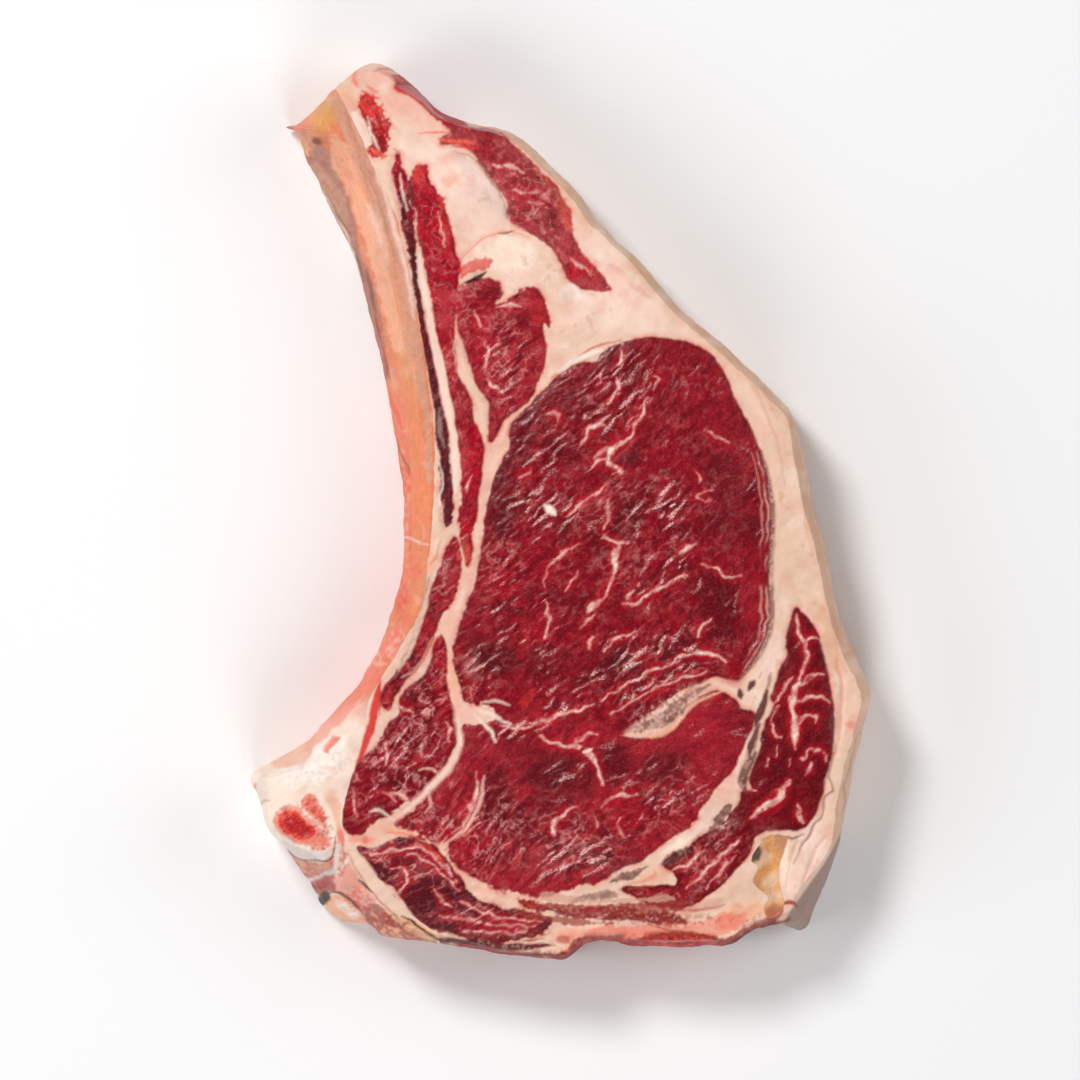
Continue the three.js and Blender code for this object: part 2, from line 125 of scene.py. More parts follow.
CAP_MUSCLE = [
    (70.5, -29), (73, -31), (76, -35), (78, -40), (79.5, -46), (80.5, -52), (81.5, -58), (82, -64),
    (81.5, -70), (80.5, -76), (79, -82), (77.5, -88), (75.5, -92), (73, -95), (70, -96), (66, -95.5),
    (61, -96), (58, -98), (57, -101), (55, -104.5), (52, -108), (48, -112), (43, -115.5), (38, -118),
    (32, -118.3), (26, -117), (21, -114.5), (18, -113.5), (20, -112.8), (26, -113), (31, -112.5),
    (35, -112.5), (35.5, -110), (34, -108), (31, -106.5), (33, -104), (36, -102.5), (40, -100.5),
    (43, -97.5), (46, -96), (50, -93), (51.5, -90), (53.5, -87), (54, -84.5), (57, -83.5), (56.5, -80),
    (58, -76), (59.5, -72), (60, -68), (61.5, -63), (64, -58), (63, -56), (64.5, -51), (66, -47),
    (68, -43), (67.5, -40), (69, -33),
]
CORNER_MUSCLE = [
    (-36, -37), (-34.5, -41), (-34, -46), (-34.5, -51), (-33.5, -55), (-32.5, -60), (-31.5, -65),
    (-31.5, -70), (-33.5, -74), (-36, -78), (-39, -82), (-43, -86), (-47, -88.5), (-51, -91), (-55, -93),
    (-58, -94.5), (-59, -97), (-63, -97), (-65, -95), (-65.5, -91), (-64.5, -86), (-62.5, -80),
    (-61, -76), (-57.5, -72.5), (-55, -70), (-53, -66), (-51, -63), (-48.5, -61), (-48.5, -57),
    (-46, -53), (-42, -50), (-39.5, -46), (-38, -41),
]
BOTTOM_MUSCLE = [
    (-61, -101), (-57, -101), (-50, -98.5), (-44, -98), (-40, -100), (-36, -103), (-34, -106.5),
    (-30, -111), (-27, -115), (-22, -118.5), (-15, -120), (-8, -121.5), (-3, -122.5), (-5, -125),
    (-12, -127.5), (-20, -129), (-27, -128.5), (-33, -127), (-38, -125.5), (-42, -123.5), (-45.5, -119.5),
    (-48, -116), (-50, -113), (-54, -110.5), (-57, -106),
]
UPPER_MUSCLE = [
    (-31, 66), (-28, 69), (-24, 69.5), (-21, 70), (-19, 68.5), (-18.5, 65), (-20, 62), (-17, 62),
    (-13, 64.5), (-12, 66.5), (-9.5, 67.5), (-7, 66), (-5, 62.5), (-4, 59), (-3, 56.5), (-3.5, 55),
    (-5.5, 57), (-5, 53), (-4.5, 49), (-5, 44), (-7, 38.5), (-9, 34), (-12, 31), (-16, 28.5), (-18.5, 25),
    (-20, 21), (-21.5, 21), (-21.5, 27), (-22, 33), (-25, 37), (-27, 43), (-29, 50), (-31, 56),
    (-31.5, 62),
]
RIB_STRIP = [
    (-45, 97), (-44.5, 102), (-43, 103.5), (-40.5, 103.5), (-40, 99), (-37.5, 96), (-35, 92), (-33.5, 86),
    (-32, 78), (-30.5, 74), (-31, 68), (-31.5, 60), (-32, 52), (-31.5, 45), (-30.5, 40), (-28, 36),
    (-26.5, 30), (-26, 27), (-24, 22), (-23.5, 15), (-24, 8), (-25, 2), (-26, -4), (-27, -8),
    (-26.5, -12), (-28, -16.5), (-30, -10), (-30, -4), (-30, 3), (-30, 10), (-30.5, 18), (-31.5, 26),
    (-33, 34), (-34.5, 42), (-36, 48), (-37.5, 54), (-38.5, 62), (-40, 70), (-41.5, 77), (-43, 84),
    (-44, 90),
]
LOWER_RIB_STRIP = [
    (-32, -8), (-35, -14), (-38, -20), (-40, -26), (-41, -31), (-43.5, -36), (-46, -42), (-50, -49),
    (-53, -53), (-54, -57), (-52, -60), (-50, -56), (-47, -51), (-43, -47), (-40, -42), (-38, -37),
    (-36, -32), (-33, -27), (-31, -22), (-30, -18), (-30, -12),
]
DARK_STRIP = [
    (-49, 106.5), (-47.5, 103), (-45.5, 97), (-45, 91), (-44.5, 84), (-43.2, 75), (-42, 66), (-41, 57),
    (-38.8, 47), (-37, 38), (-35.2, 30), (-34, 22), (-33.2, 14), (-33, 6), (-33, -3), (-34, -4.5),
    (-35, -2), (-35.5, 6), (-36.3, 14), (-37.2, 22), (-38, 30), (-39, 38), (-40.5, 46), (-42.5, 56),
    (-43.8, 65), (-45, 74), (-46.3, 82), (-48, 90), (-49.5, 97), (-50.3, 103),
]
END_MUSCLE = [
    (-60, 123), (-57, 125), (-54.5, 122), (-52.5, 117), (-51.5, 112), (-53, 106.5), (-57, 107),
    (-57.5, 113), (-58.5, 118),
]
TOP_STRIP = [
    (-50, 127.5), (-45, 128), (-41, 124.5), (-37, 119.5), (-33, 116.5), (-27, 115.5), (-20, 114.5),
    (-14, 109.5), (-9, 104.5), (-4, 99.5), (0, 95), (3, 89.5), (3.5, 84), (6, 78), (11, 72.5), (14, 68.5),
    (15, 66.5), (10, 66), (5, 67.5), (2, 70), (0, 75), (-3, 79), (-7, 82), (-12, 85), (-16, 88),
    (-16, 92), (-19, 97), (-23, 103), (-26, 107), (-30, 110), (-36, 110.5), (-36, 112), (-33, 113.5),
    (-35, 116.5), (-39, 120), (-43.5, 124), (-49, 126.3),
]
BOTTOM_STRIP = [
    (-12, -117), (-8, -118), (0, -119.5), (10, -119.5), (20, -119), (27, -121), (32, -121), (38, -123.5),
    (31, -124), (25, -123), (15, -122.5), (5, -122), (0, -121), (-8, -119),
]
EDGE_STRIP = [(25, -127), (35, -126.5), (44, -127.5), (47.5, -129), (38, -129.3), (28, -129.2)]
BACK_STRAP = [
    (63, -97.5), (68, -98), (67, -102), (65.5, -107), (66, -113), (67, -117), (66, -121), (62, -122),
    (61, -119), (62, -116), (59, -113), (57.5, -111), (59, -107), (57, -105), (59, -101), (61, -98.5),
]
TENDON = [
    (-70.5, -116.5), (-67, -115.5), (-63, -118), (-60, -121.5), (-58.5, -125), (-62, -126.5),
    (-66, -126.5), (-70, -122.5),
]
MARROW = [
    (-86, -91), (-83, -89), (-79, -88), (-77, -85.5), (-75, -84.5), (-72.5, -87), (-71, -90), (-69, -93),
    (-68, -97), (-68.5, -101), (-72, -102), (-76, -100.7), (-80, -98.5), (-84, -95.5),
]

# Broad swellings and hollows of the top face: x, y, radius, height
SWELLINGS = [
    (18, 8, 34, 1.1), (10, -90, 34, 0.9), (72, -62, 16, 0.6), (-28, -120, 16, 0.8), (-22, 84, 14, -1.5),
    (10, 60, 9, -0.8), (88, -62, 9, -1.2), (80, -108, 10, -1.6), (48, -92, 8, -0.9), (-80, -84, 10, 0.8),
    (-40, -60, 10, -0.6),
]

# Lines and outlines


def knot_gap(first, second):
    """The root of the distance of two points, by which a smooth line spaces its knots."""
    return math.sqrt(np.linalg.norm(second[:2] - first[:2]) + TINY)


def between(low, high, t, first, second):
    """From the first value at low to the second at high."""
    return (high - t) / (high - low) * first + (t - low) / (high - low) * second


def smooth_line(points, step, closed):
    """A centripetal Catmull-Rom line through the points, in stretches of about step."""
    knots = [np.array(p, float) for p in points]
    if closed:
        knots = [knots[-1]] + knots + knots[:2]
    else:
        knots = [2 * knots[0] - knots[1]] + knots + [2 * knots[-1] - knots[-2]]
    line = []
    for p0, p1, p2, p3 in zip(knots, knots[1:], knots[2:], knots[3:]):
        t0 = 0.0
        t1 = t0 + knot_gap(p0, p1)
        t2 = t1 + knot_gap(p1, p2)
        t3 = t2 + knot_gap(p2, p3)
        count = max(1, round(float(np.linalg.norm(p2[:2] - p1[:2])) / step))
        t = (t1 + (t2 - t1) * np.arange(count) / count)[:, None]
        before = between(t0, t1, t, p0, p1)
        middle = between(t1, t2, t, p1, p2)
        after = between(t2, t3, t, p2, p3)
        arriving = between(t0, t2, t, before, middle)
        leaving = between(t1, t3, t, middle, after)
        line.append(between(t1, t2, t, arriving, leaving))
    if not closed:
        line.append(knots[-2][None, :])
    return np.concatenate(line)


def turned_left(outline):
    """The outline in counter-clockwise order."""
    x, y = outline[:, 0], outline[:, 1]
    area = np.sum(x * np.roll(y, -1) - np.roll(x, -1) * y)
    return outline if area > 0 else outline[::-1]


# Fields on the lattice


def window(points, reach):
    """The rows and columns of the lattice within reach of the points."""
    low = np.min(points, axis=0)[:2] - reach
    high = np.max(points, axis=0)[:2] + reach
    first_column = max(0, int((low[0] - LEFT) / CELL))
    end_column = min(COLUMNS, int((high[0] - LEFT) / CELL) + 2)
    first_row = max(0, int((low[1] - FRONT) / CELL))
    end_row = min(ROWS, int((high[1] - FRONT) / CELL) + 2)
    return slice(first_row, max(first_row, end_row)), slice(first_column, max(first_column, end_column))


def distance_to(line, reach):
    """The distance of each lattice point to a closed line, up to reach."""
    field = np.full(X.shape, float(reach))
    for start, end in zip(line, np.roll(line, -1, axis=0)):
        part = window([start, end], reach)
        away_x = X[part] - start[0]
        away_y = Y[part] - start[1]
        way = end - start
        share = (away_x * way[0] + away_y * way[1]) / max(TINY, way[0] ** 2 + way[1] ** 2)
        share = np.clip(share, 0, 1)
        found = np.hypot(away_x - share * way[0], away_y - share * way[1])
        field[part] = np.minimum(field[part], found)
    return field


def inside(outline):
    """True at the lattice points inside a closed outline."""
    flips = np.zeros((ROWS, COLUMNS + 1), np.int32)
    rows = FRONT + CELL * np.arange(ROWS)
    for start, end in zip(outline, np.roll(outline, -1, axis=0)):
        low, high = min(start[1], end[1]), max(start[1], end[1])
        crossed = np.nonzero((rows > low) & (rows <= high))[0]
        if len(crossed) == 0:
            continue
        x = start[0] + (rows[crossed] - start[1]) * (end[0] - start[0]) / (end[1] - start[1])
        column = np.clip(np.ceil((x - LEFT) / CELL).astype(int), 0, COLUMNS)
        np.add.at(flips, (crossed, column), 1)
    return np.cumsum(flips, axis=1)[:, :COLUMNS] % 2 == 1


def depth_in(outline, reach):
    """Distance to the outline, positive inside and negative outside."""
    away = distance_to(outline, reach)
    return np.where(inside(outline), away, -away)


def grid_noise(seed, size):
    """Smooth noise of about that grain size in millimetres, from -1 to 1 for the most part."""
    spread = 0.35
    random = np.random.default_rng(seed)
    white = np.fft.rfft2(random.standard_normal(X.shape))
    waves_y = np.fft.fftfreq(ROWS, CELL)[:, None]
    waves_x = np.fft.rfftfreq(COLUMNS, CELL)[None, :]
    kept = np.exp(-2 * (math.pi * size * spread) ** 2 * (waves_x**2 + waves_y**2))
    spectrum = white * kept
    field = np.fft.irfft2(spectrum, s=X.shape)
    return field / (2 * field.std())


def faded(t):
    """A soft start and end for a share from 0 to 1."""
    return t * t * (3 - 2 * t)


def four_corners(field, row, column, next_row, next_column, down, across):
    """The value between four neighbours of a field, at the given shares of the way."""
    low = field[row, column] * (1 - across) + field[row, next_column] * across
    high = field[next_row, column] * (1 - across) + field[next_row, next_column] * across
    return low * (1 - down) + high * down


def lattice_noise(u, v, seed):
    """Smooth random values from -1 to 1 at the coordinates u and v, one bump per unit."""
    size = 256
    table = np.random.default_rng(seed).uniform(-1, 1, (size, size))
    column = np.floor(u).astype(int)
    row = np.floor(v).astype(int)
    across = faded(u - column)
    down = faded(v - row)
    column = column % size
    row = row % size
    return four_corners(table, row, column, (row + 1) % size, (column + 1) % size, down, across)


def sample(field, x, y):
    """The field at any points, between its lattice points."""
    short_of_last = 1.001
    u = np.clip((x - LEFT) / CELL, 0, COLUMNS - short_of_last)
    v = np.clip((y - FRONT) / CELL, 0, ROWS - short_of_last)
    column = u.astype(int)
    row = v.astype(int)
    across = u - column
    down = v - row
    if field.ndim == 3:
        across = across[:, None]
        down = down[:, None]
    return four_corners(field, row, column, row + 1, column + 1, down, across)


# Solids


def mesh_of(name, vertices, triangles):
    """A mesh of triangles."""
    mesh = bpy.data.meshes.new(name)
    mesh.vertices.add(len(vertices))
    mesh.vertices.foreach_set("co", np.asarray(vertices, np.float32).ravel())
    mesh.loops.add(3 * len(triangles))
    mesh.loops.foreach_set("vertex_index", np.asarray(triangles, np.int32).ravel())
    mesh.polygons.add(len(triangles))
    mesh.polygons.foreach_set("loop_start", 3 * np.arange(len(triangles), dtype=np.int32))
    mesh.update(calc_edges=True)
    mesh.validate()
    return mesh


def object_of(mesh):
    """An object in the scene that shows the mesh."""
    thing = bpy.data.objects.new(mesh.name, mesh)
    bpy.context.scene.collection.objects.link(thing)
    return thing


def even_span(low, high, start, count):
    """The first and last lattice line over a stretch, an even number apart."""
    first = max(0, int((low - start) / CELL)) // 2 * 2
    last = min(count - 1, int((high - start) / CELL) + 1)
    return first, first + (last - first) // 2 * 2


def slab_rims(up, down):
    """The four edges of a slab, each as its upper and its lower row of vertices."""
    return [
        (up[0, :], down[0, :]),
        (up[:, -1], down[:, -1]),
        (up[-1, ::-1], down[-1, ::-1]),
        (up[::-1, 0], down[::-1, 0]),
    ]


def slab(name, outline, top, bottom):
    """A slab under the height field, over the box of the outline, with a coarser underside."""
    margin = 2
    low = np.min(outline, axis=0)[:2] - margin
    high = np.max(outline, axis=0)[:2] + margin
    first_column, last_column = even_span(low[0], high[0], LEFT, COLUMNS)
    first_row, last_row = even_span(low[1], high[1], FRONT, ROWS)
    part = slice(first_row, last_row + 1), slice(first_column, last_column + 1)
    coarse = slice(first_row, last_row + 1, 2), slice(first_column, last_column + 1, 2)
    upper = np.stack([X[part], Y[part], top[part]], axis=-1)
    lower = np.stack([X[coarse], Y[coarse], bottom[coarse]], axis=-1)
    rows, columns = upper.shape[:2]
    few_rows, few_columns = lower.shape[:2]
    up = np.arange(rows * columns).reshape(rows, columns)
    down = rows * columns + np.arange(few_rows * few_columns).reshape(few_rows, few_columns)
    faces = [
        np.stack([up[:-1, :-1], up[:-1, 1:], up[1:, 1:]], -1),
        np.stack([up[:-1, :-1], up[1:, 1:], up[1:, :-1]], -1),
        np.stack([down[:-1, :-1], down[1:, 1:], down[:-1, 1:]], -1),
        np.stack([down[:-1, :-1], down[1:, :-1], down[1:, 1:]], -1),
    ]
    for over, under in slab_rims(up, down):
        faces.append(np.stack([under[:-1], under[1:], over[1::2]], -1))
        faces.append(np.stack([under[:-1], over[1::2], over[:-1:2]], -1))
        faces.append(np.stack([under[1:], over[2::2], over[1::2]], -1))
    triangles = np.concatenate([f.reshape(-1, 3) for f in faces])
    return mesh_of(name, np.concatenate([upper.reshape(-1, 3), lower.reshape(-1, 3)]), triangles)


def stacked(name, rings):
    """A closed solid through rings of equal count, one above the other."""
    count = len(rings[0])
    vertices = np.concatenate(rings)
    polygons = []
    for level in range(len(rings) - 1):
        start = level * count
        for i in range(count):
            here = start + i
            following = start + (i + 1) % count
            polygons.append((here, following, following + count, here + count))
    polygons.append(tuple(range(count - 1, -1, -1)))
    polygons.append(tuple(range(len(vertices) - count, len(vertices))))
    mesh = bpy.data.meshes.new(name)
    mesh.from_pydata(vertices.tolist(), [], polygons)
    return mesh


# Cutting tools reach from well under the board to well over the steak.
TOOL_HEIGHTS = (-8.0, 60.0)


def prism(name, outline):
    """An upright cutting tool over the outline."""
    rings = [np.column_stack([outline[:, :2], np.full(len(outline), z)]) for z in TOOL_HEIGHTS]
    return stacked(name, rings)


def cut(thing, tool, operation):
    """Replaces the object's mesh by its cut with the tool's mesh."""
    modifier = thing.modifiers.new("cut", "BOOLEAN")
    modifier.operation = operation
    modifier.solver = "MANIFOLD"
    modifier.object = tool
    bpy.context.view_layer.update()
    depsgraph = bpy.context.evaluated_depsgraph_get()
    result = bpy.data.meshes.new_from_object(thing.evaluated_get(depsgraph))
    thing.modifiers.clear()
    old = thing.data
    thing.data = result
    bpy.data.meshes.remove(old)


# The whole body, drawn in towards the top

FOOT_TUCK = 2.2
FOOT_HEIGHT = 5.0
# A side with the upright lean rounds over near the top, one with the sloping lean leans all the way.
UPRIGHT_LEAN = 4
UPRIGHT_POWER = 4
SLOPING_LEAN = 10
SLOPING_POWER = 1.3
# The lean grows a little above the usual thickness too.
MOST_RISE = 1.1
LEAST_CORNER = 0.4
# The rings lie closer near the board, and the last one is above the highest swelling.
RING_HEIGHTS = np.concatenate([np.arange(0, 5, 1.0), np.arange(5, 40, 1.1), [41.5]])
# Waves of the sides: length along the outline, length upward, seed, size
SIDE_WAVES = [(9.0, 7.0, 5, 0.45), (14.0, 2.3, 6, 0.25), (1.7, 1.6, 7, 0.12)]
WAVE_SHARE = 0.8
WAVE_INSET = 0.2
WAVE_START = 3.0
LEAN_BLUR = 5


def drawn_in(lean, height):
    """How far a side with that lean stands back at a height."""
    boniness = np.clip((lean - UPRIGHT_LEAN) / (SLOPING_LEAN - UPRIGHT_LEAN), 0, 1)
    power = UPRIGHT_POWER + (SLOPING_POWER - UPRIGHT_POWER) * boniness
    tuck = FOOT_TUCK * max(0, 1 - height / FOOT_HEIGHT) ** 2
    return lean * min(MOST_RISE, height / THICKNESS) ** power + tuck


def corner_directions(corners):
    """The inward direction at each corner, longer where the outline turns sharply."""
    before = np.roll(corners, 1, axis=0)[:, :2]
    after = np.roll(corners, -1, axis=0)[:, :2]
    normals = []
    for way in (corners[:, :2] - before, after - corners[:, :2]):
        normal = np.column_stack([-way[:, 1], way[:, 0]])
        normals.append(normal / np.linalg.norm(normal, axis=1)[:, None])
    middle = normals[0] + normals[1]
    middle /= np.linalg.norm(middle, axis=1)[:, None]
    middle /= np.maximum(LEAST_CORNER, np.sum(middle * normals[0], axis=1))[:, None]
    return middle


def running_mean(values, half):
    """The mean over a few neighbours along a closed outline."""
    total = sum(np.roll(values, shift, axis=0) for shift in range(-half, half + 1))
    return total / (2 * half + 1)


def lean_along(outline):
    """For each outline point, the inward direction and the lean between the given leans."""
    corners = turned_left(np.array(LEANS, float))
    middle = corner_directions(corners)
    direction = np.zeros((len(outline), 2))
    lean = np.zeros(len(outline))
    nearest = np.full(len(outline), np.inf)
    for here in range(len(corners)):
        following = (here + 1) % len(corners)
        start = corners[here, :2]
        way = corners[following, :2] - start
        share = np.clip((outline[:, :2] - start) @ way / (way @ way), 0, 1)
        spot = start + share[:, None] * way
        away = np.linalg.norm(outline[:, :2] - spot, axis=1)
        closer = away < nearest
        nearest[closer] = away[closer]
        share = share[closer]
        lean[closer] = corners[here, 2] * (1 - share) + corners[following, 2] * share
        share = share[:, None]
        direction[closer] = middle[here] * (1 - share) + middle[following] * share
    return running_mean(direction, LEAN_BLUR), running_mean(lean, LEAN_BLUR)


def side_rings(outline):
    """The outline at each height, drawn in by its lean and by small waves."""
    direction, lean = lean_along(outline)
    along = np.cumsum(np.linalg.norm(outline - np.roll(outline, 1, axis=0), axis=1))
    rings = []
    for height in RING_HEIGHTS:
        waves = 0
        for length, upward, seed, size in SIDE_WAVES:
            level = np.full(len(along), height / upward)
            waves = waves + size * lattice_noise(along / length, level, seed)
        wave = min(1.0, height / WAVE_START) * waves
        shift = np.maximum(0.0, drawn_in(lean, height) + wave * WAVE_SHARE + WAVE_INSET)
        ring = outline[:, :2] + direction * shift[:, None]
        rings.append(np.column_stack([ring, np.full(len(outline), height)]))
    return rings


WOBBLE_LENGTH = 1.8
STEAK_STEP, STEAK_WOBBLE, STEAK_SEED = 0.6, 0.15, 21
PIECE_STEP, PIECE_WOBBLE, PIECE_SEED = 0.45, 0.22, 11


def wobbled(outline, amount, seed):
    """The outline with small irregular waves."""
    u = outline[:, 0] / WOBBLE_LENGTH
    v = outline[:, 1] / WOBBLE_LENGTH
    moved = outline.copy()
    moved[:, 0] += amount * lattice_noise(u, v, seed)
    moved[:, 1] += amount * lattice_noise(u, v, seed + 1)
    return moved


def piece_outline(points, outside=()):
    """A smooth and slightly irregular outline, or such an edge with straight lines outside."""
    line = wobbled(smooth_line(points, PIECE_STEP, not outside), PIECE_WOBBLE, PIECE_SEED)
    if outside:
        line = np.concatenate([line, np.array(outside, float)])
    return turned_left(line)


# The drawn points of each piece, and what goes round outside the steak where they are an edge
PIECE_POINTS = {
    "tendon": [TENDON],
    "marrow": [MARROW],
    "rib_bone": [RIB_BONE_EDGE, RIB_BONE_OUTSIDE],
    "chine_bone": [CHINE_BONE_EDGE, CHINE_BONE_OUTSIDE],
    "back_strap": [BACK_STRAP],
    "eye_muscle": [EYE_MUSCLE],
    "under_muscle": [UNDER_MUSCLE],
    "cap_muscle": [CAP_MUSCLE],
    "corner_muscle": [CORNER_MUSCLE],
    "bottom_muscle": [BOTTOM_MUSCLE],
    "upper_muscle": [UPPER_MUSCLE],
    "rib_strip": [RIB_STRIP],
    "lower_rib_strip": [LOWER_RIB_STRIP],
    "dark_strip": [DARK_STRIP],
    "end_muscle": [END_MUSCLE],
    "top_strip": [TOP_STRIP],
    "bottom_strip": [BOTTOM_STRIP],
    "edge_strip": [EDGE_STRIP],
}
OUTLINES = {name: piece_outline(*points) for name, points in PIECE_POINTS.items()}
STEAK = turned_left(wobbled(smooth_line(SILHOUETTE, STEAK_STEP, True), STEAK_WOBBLE, STEAK_SEED))

# Noise and grain

# How far painted lines stray from their points
WARP_X = 0.4 * grid_noise(101, 2.6) + 0.12 * grid_noise(103, 1.0)
WARP_Y = 0.4 * grid_noise(102, 2.6) + 0.12 * grid_noise(104, 1.0)
# Unevenness of colour: middling, broad and fine
MOTTLE = grid_noise(105, 4.5)
CLOUD = grid_noise(106, 12.0)
SPECK = grid_noise(107, 0.9)

# Direction of the meat fibres: x, y, reach, degrees from +X
GRAIN = [
    (-12, 22, 10, 57), (-14, 0, 10, 50), (0, 10, 12, 46), (-6, -20, 12, 48), (12, -20, 10, 42),
    (22, -5, 9, 40), (31, 0, 9, 37), (31, -16, 8, 27), (10, -40, 10, 31), (30, -40, 9, 27),
    (42, -45, 7, 18), (20, -50, 10, 33), (0, -57, 10, 27), (45, 20, 14, 45), (59, 0, 5, 10),
    (60, -35, 5, 65), (55, -45, 4, 48), (30, 45, 10, 55), (22, -62, 8, 36), (-15, -66, 8, 30),
    (-5, -82, 10, 36), (5, -103, 9, 14), (30, -82, 10, 36), (45, -75, 8, 30), (-22, -98, 9, 60),
    (-42, -92, 6, 30), (70, -50, 8, 76), (68, -84, 8, 40), (53, -102, 6, 42), (41, -108, 6, 32),
    (28, -115, 6, 3), (-42, -50, 8, 66), (-50, -75, 9, 60), (-59, -90, 7, 45), (-50, -105, 7, -28),
    (-35, -112, 7, -35), (-20, -124, 7, -8), (5, -120, 9, -3), (36, -128, 8, -3), (-14, 48, 8, 32),
    (-26, 58, 5, 100), (-10, 100, 9, 150), (6, 75, 7, 135), (-34, 65, 8, 98), (-42, 95, 6, 100),
    (-27, 10, 5, 92), (-38, -30, 6, 60), (-55, 115, 8, 112), (-45, 60, 7, 100), (-40, 125, 7, 140),
]


def direction_field():
    """Unit vectors along the fibres."""
    along_x = np.zeros(X.shape)
    along_y = np.zeros(X.shape)
    for x, y, reach, degrees in GRAIN:
        weight = np.exp(-((X - x) ** 2 + (Y - y) ** 2) / (2 * reach**2)) + TINY
        along_x += weight * math.cos(math.radians(degrees))
        along_y += weight * math.sin(math.radians(degrees))
    length = np.hypot(along_x, along_y) + TINIER
    return along_x / length, along_y / length


def potential(way_x, way_y):
    """A smooth field that grows along the given directions as evenly as it can."""
    border = 8.0
    rim_x = np.clip(np.minimum(X - LEFT, RIGHT - X) / border, 0, 1)
    rim_y = np.clip(np.minimum(Y - FRONT, BACK - Y) / border, 0, 1)
    mean_x, mean_y = way_x.mean(), way_y.mean()
    rest_x = np.fft.rfft2((way_x - mean_x) * rim_x * rim_y)
    rest_y = np.fft.rfft2((way_y - mean_y) * rim_x * rim_y)
    waves_y = 2j * math.pi * np.fft.fftfreq(ROWS, CELL)[:, None]
    waves_x = 2j * math.pi * np.fft.rfftfreq(COLUMNS, CELL)[None, :]
    squared = waves_x**2 + waves_y**2
    squared[0, 0] = 1
    spectrum = (waves_x * rest_x + waves_y * rest_y) / squared
    spectrum[0, 0] = 0
    return mean_x * X + mean_y * Y + np.fft.irfft2(spectrum, s=X.shape)


WAY_X, WAY_Y = direction_field()
ALONG = potential(WAY_X, WAY_Y)
ACROSS = potential(-WAY_Y, WAY_X)
BENT = ACROSS + lattice_noise(ALONG / 4.0, ACROSS / 3.5, 36)


def fibre_noise(length, width, seed, across=BENT):
    """Noise drawn out along the fibres, its bumps of that length and width in millimetres."""
    return lattice_noise(ALONG / length, across / width, seed)


# Ridges of fibres, a finer weave of them, tufts of ridges, lacy curls and ragged borders
RIDGES = 0.7 * fibre_noise(4.0, 1.6, 31) + 0.4 * fibre_noise(2.0, 0.95, 32)
WEAVE = 0.55 * fibre_noise(2.6, 1.3, 33) + 0.4 * fibre_noise(1.4, 0.8, 34) + 0.25 * SPECK
TUFTS = fibre_noise(7.0, 5.0, 37, ACROSS) + 0.4 * fibre_noise(2.6, 2.2, 38, ACROSS)
LACE = fibre_noise(3.4, 2.1, 39) + 0.35 * grid_noise(110, 1.6)
SECOND_LACE = grid_noise(111, 3.0) + 0.3 * SPECK
RAGS = 0.6 * grid_noise(108, 1.9) + 0.55 * grid_noise(109, 4.5) + 0.3 * SPECK

# Painting

STROKE_STEP = 0.8
STROKE_MARGIN = 1.6
PATCH_REACH = 2.6
AREA_REACH = 3.0


def colour(red, green, blue):
    """Linear light from red, green and blue as seen on screen, 0 to 255."""
    seen = np.array([red, green, blue]) / 255
    return np.where(seen <= 0.04045, seen / 12.92, ((seen + 0.055) / 1.055) ** 2.4)


def smoothstep(low, high, value):
    """From 0 at low to 1 at high, with a soft start and end."""
    return faded(np.clip((value - low) / (high - low), 0, 1))


def bell(value, width):
    """1 where the value is zero, and nearly 0 where it is twice the width away."""
    return np.exp(-((value / width) ** 2))


def lay(canvas, paint, mask, part=...):
    """Lays a colour over the canvas where the mask lets it through."""
    canvas[part] += (paint - canvas[part]) * mask[..., None]


def stroke(points, soft, warp=1.0):
    """The part of the lattice round a line and how much of it covers each point there.
    Each point of the line is x, y, width."""
    line = smooth_line(points, STROKE_STEP, False)
    widest = float(np.max(line[:, 2]))
    part = window(line, widest / 2 + soft + STROKE_MARGIN)
    x = X[part] + warp * WARP_X[part]
    y = Y[part] + warp * WARP_Y[part]
    cover = np.zeros(x.shape)
    for start, end in zip(line[:-1], line[1:]):
        way = end[:2] - start[:2]
        share = ((x - start[0]) * way[0] + (y - start[1]) * way[1]) / max(TINY, way @ way)
        share = np.clip(share, 0, 1)
        away = np.hypot(x - start[0] - share * way[0], y - start[1] - share * way[1])
        half = (start[2] + (end[2] - start[2]) * share) / 2
        np.maximum(cover, np.clip(0.5 + (half - away) / (2 * soft), 0, 1), out=cover)
    return part, cover


def patch(x, y, radius_x, radius_y, degrees, warp=1.5):
    """A soft elliptic patch: its part of the lattice and its cover."""
    part = window([(x, y)], PATCH_REACH * max(radius_x, radius_y))
    away_x = X[part] - x + warp * WARP_X[part]
    away_y = Y[part] - y + warp * WARP_Y[part]
    cosine = math.cos(math.radians(degrees))
    sine = math.sin(math.radians(degrees))
    u = (cosine * away_x + sine * away_y) / radius_x
    v = (-sine * away_x + cosine * away_y) / radius_y
    return part, np.exp(-(u**2 + v**2))


def places_field(places):
    """A field from soft patches: x, y, radius, radius, degrees, strength."""
    field = np.zeros(X.shape)
    for x, y, radius_x, radius_y, degrees, strength in places:
        part, cover = patch(x, y, radius_x, radius_y, degrees)
        field[part] = np.maximum(field[part], strength * cover)
    return field


def tapered(points, width):
    """The points with a width that thins out towards both ends."""
    share = np.linspace(0.06, 0.94, len(points))
    return [(x, y, width * math.sin(math.pi * s) ** 0.6) for (x, y), s in zip(points, share)]


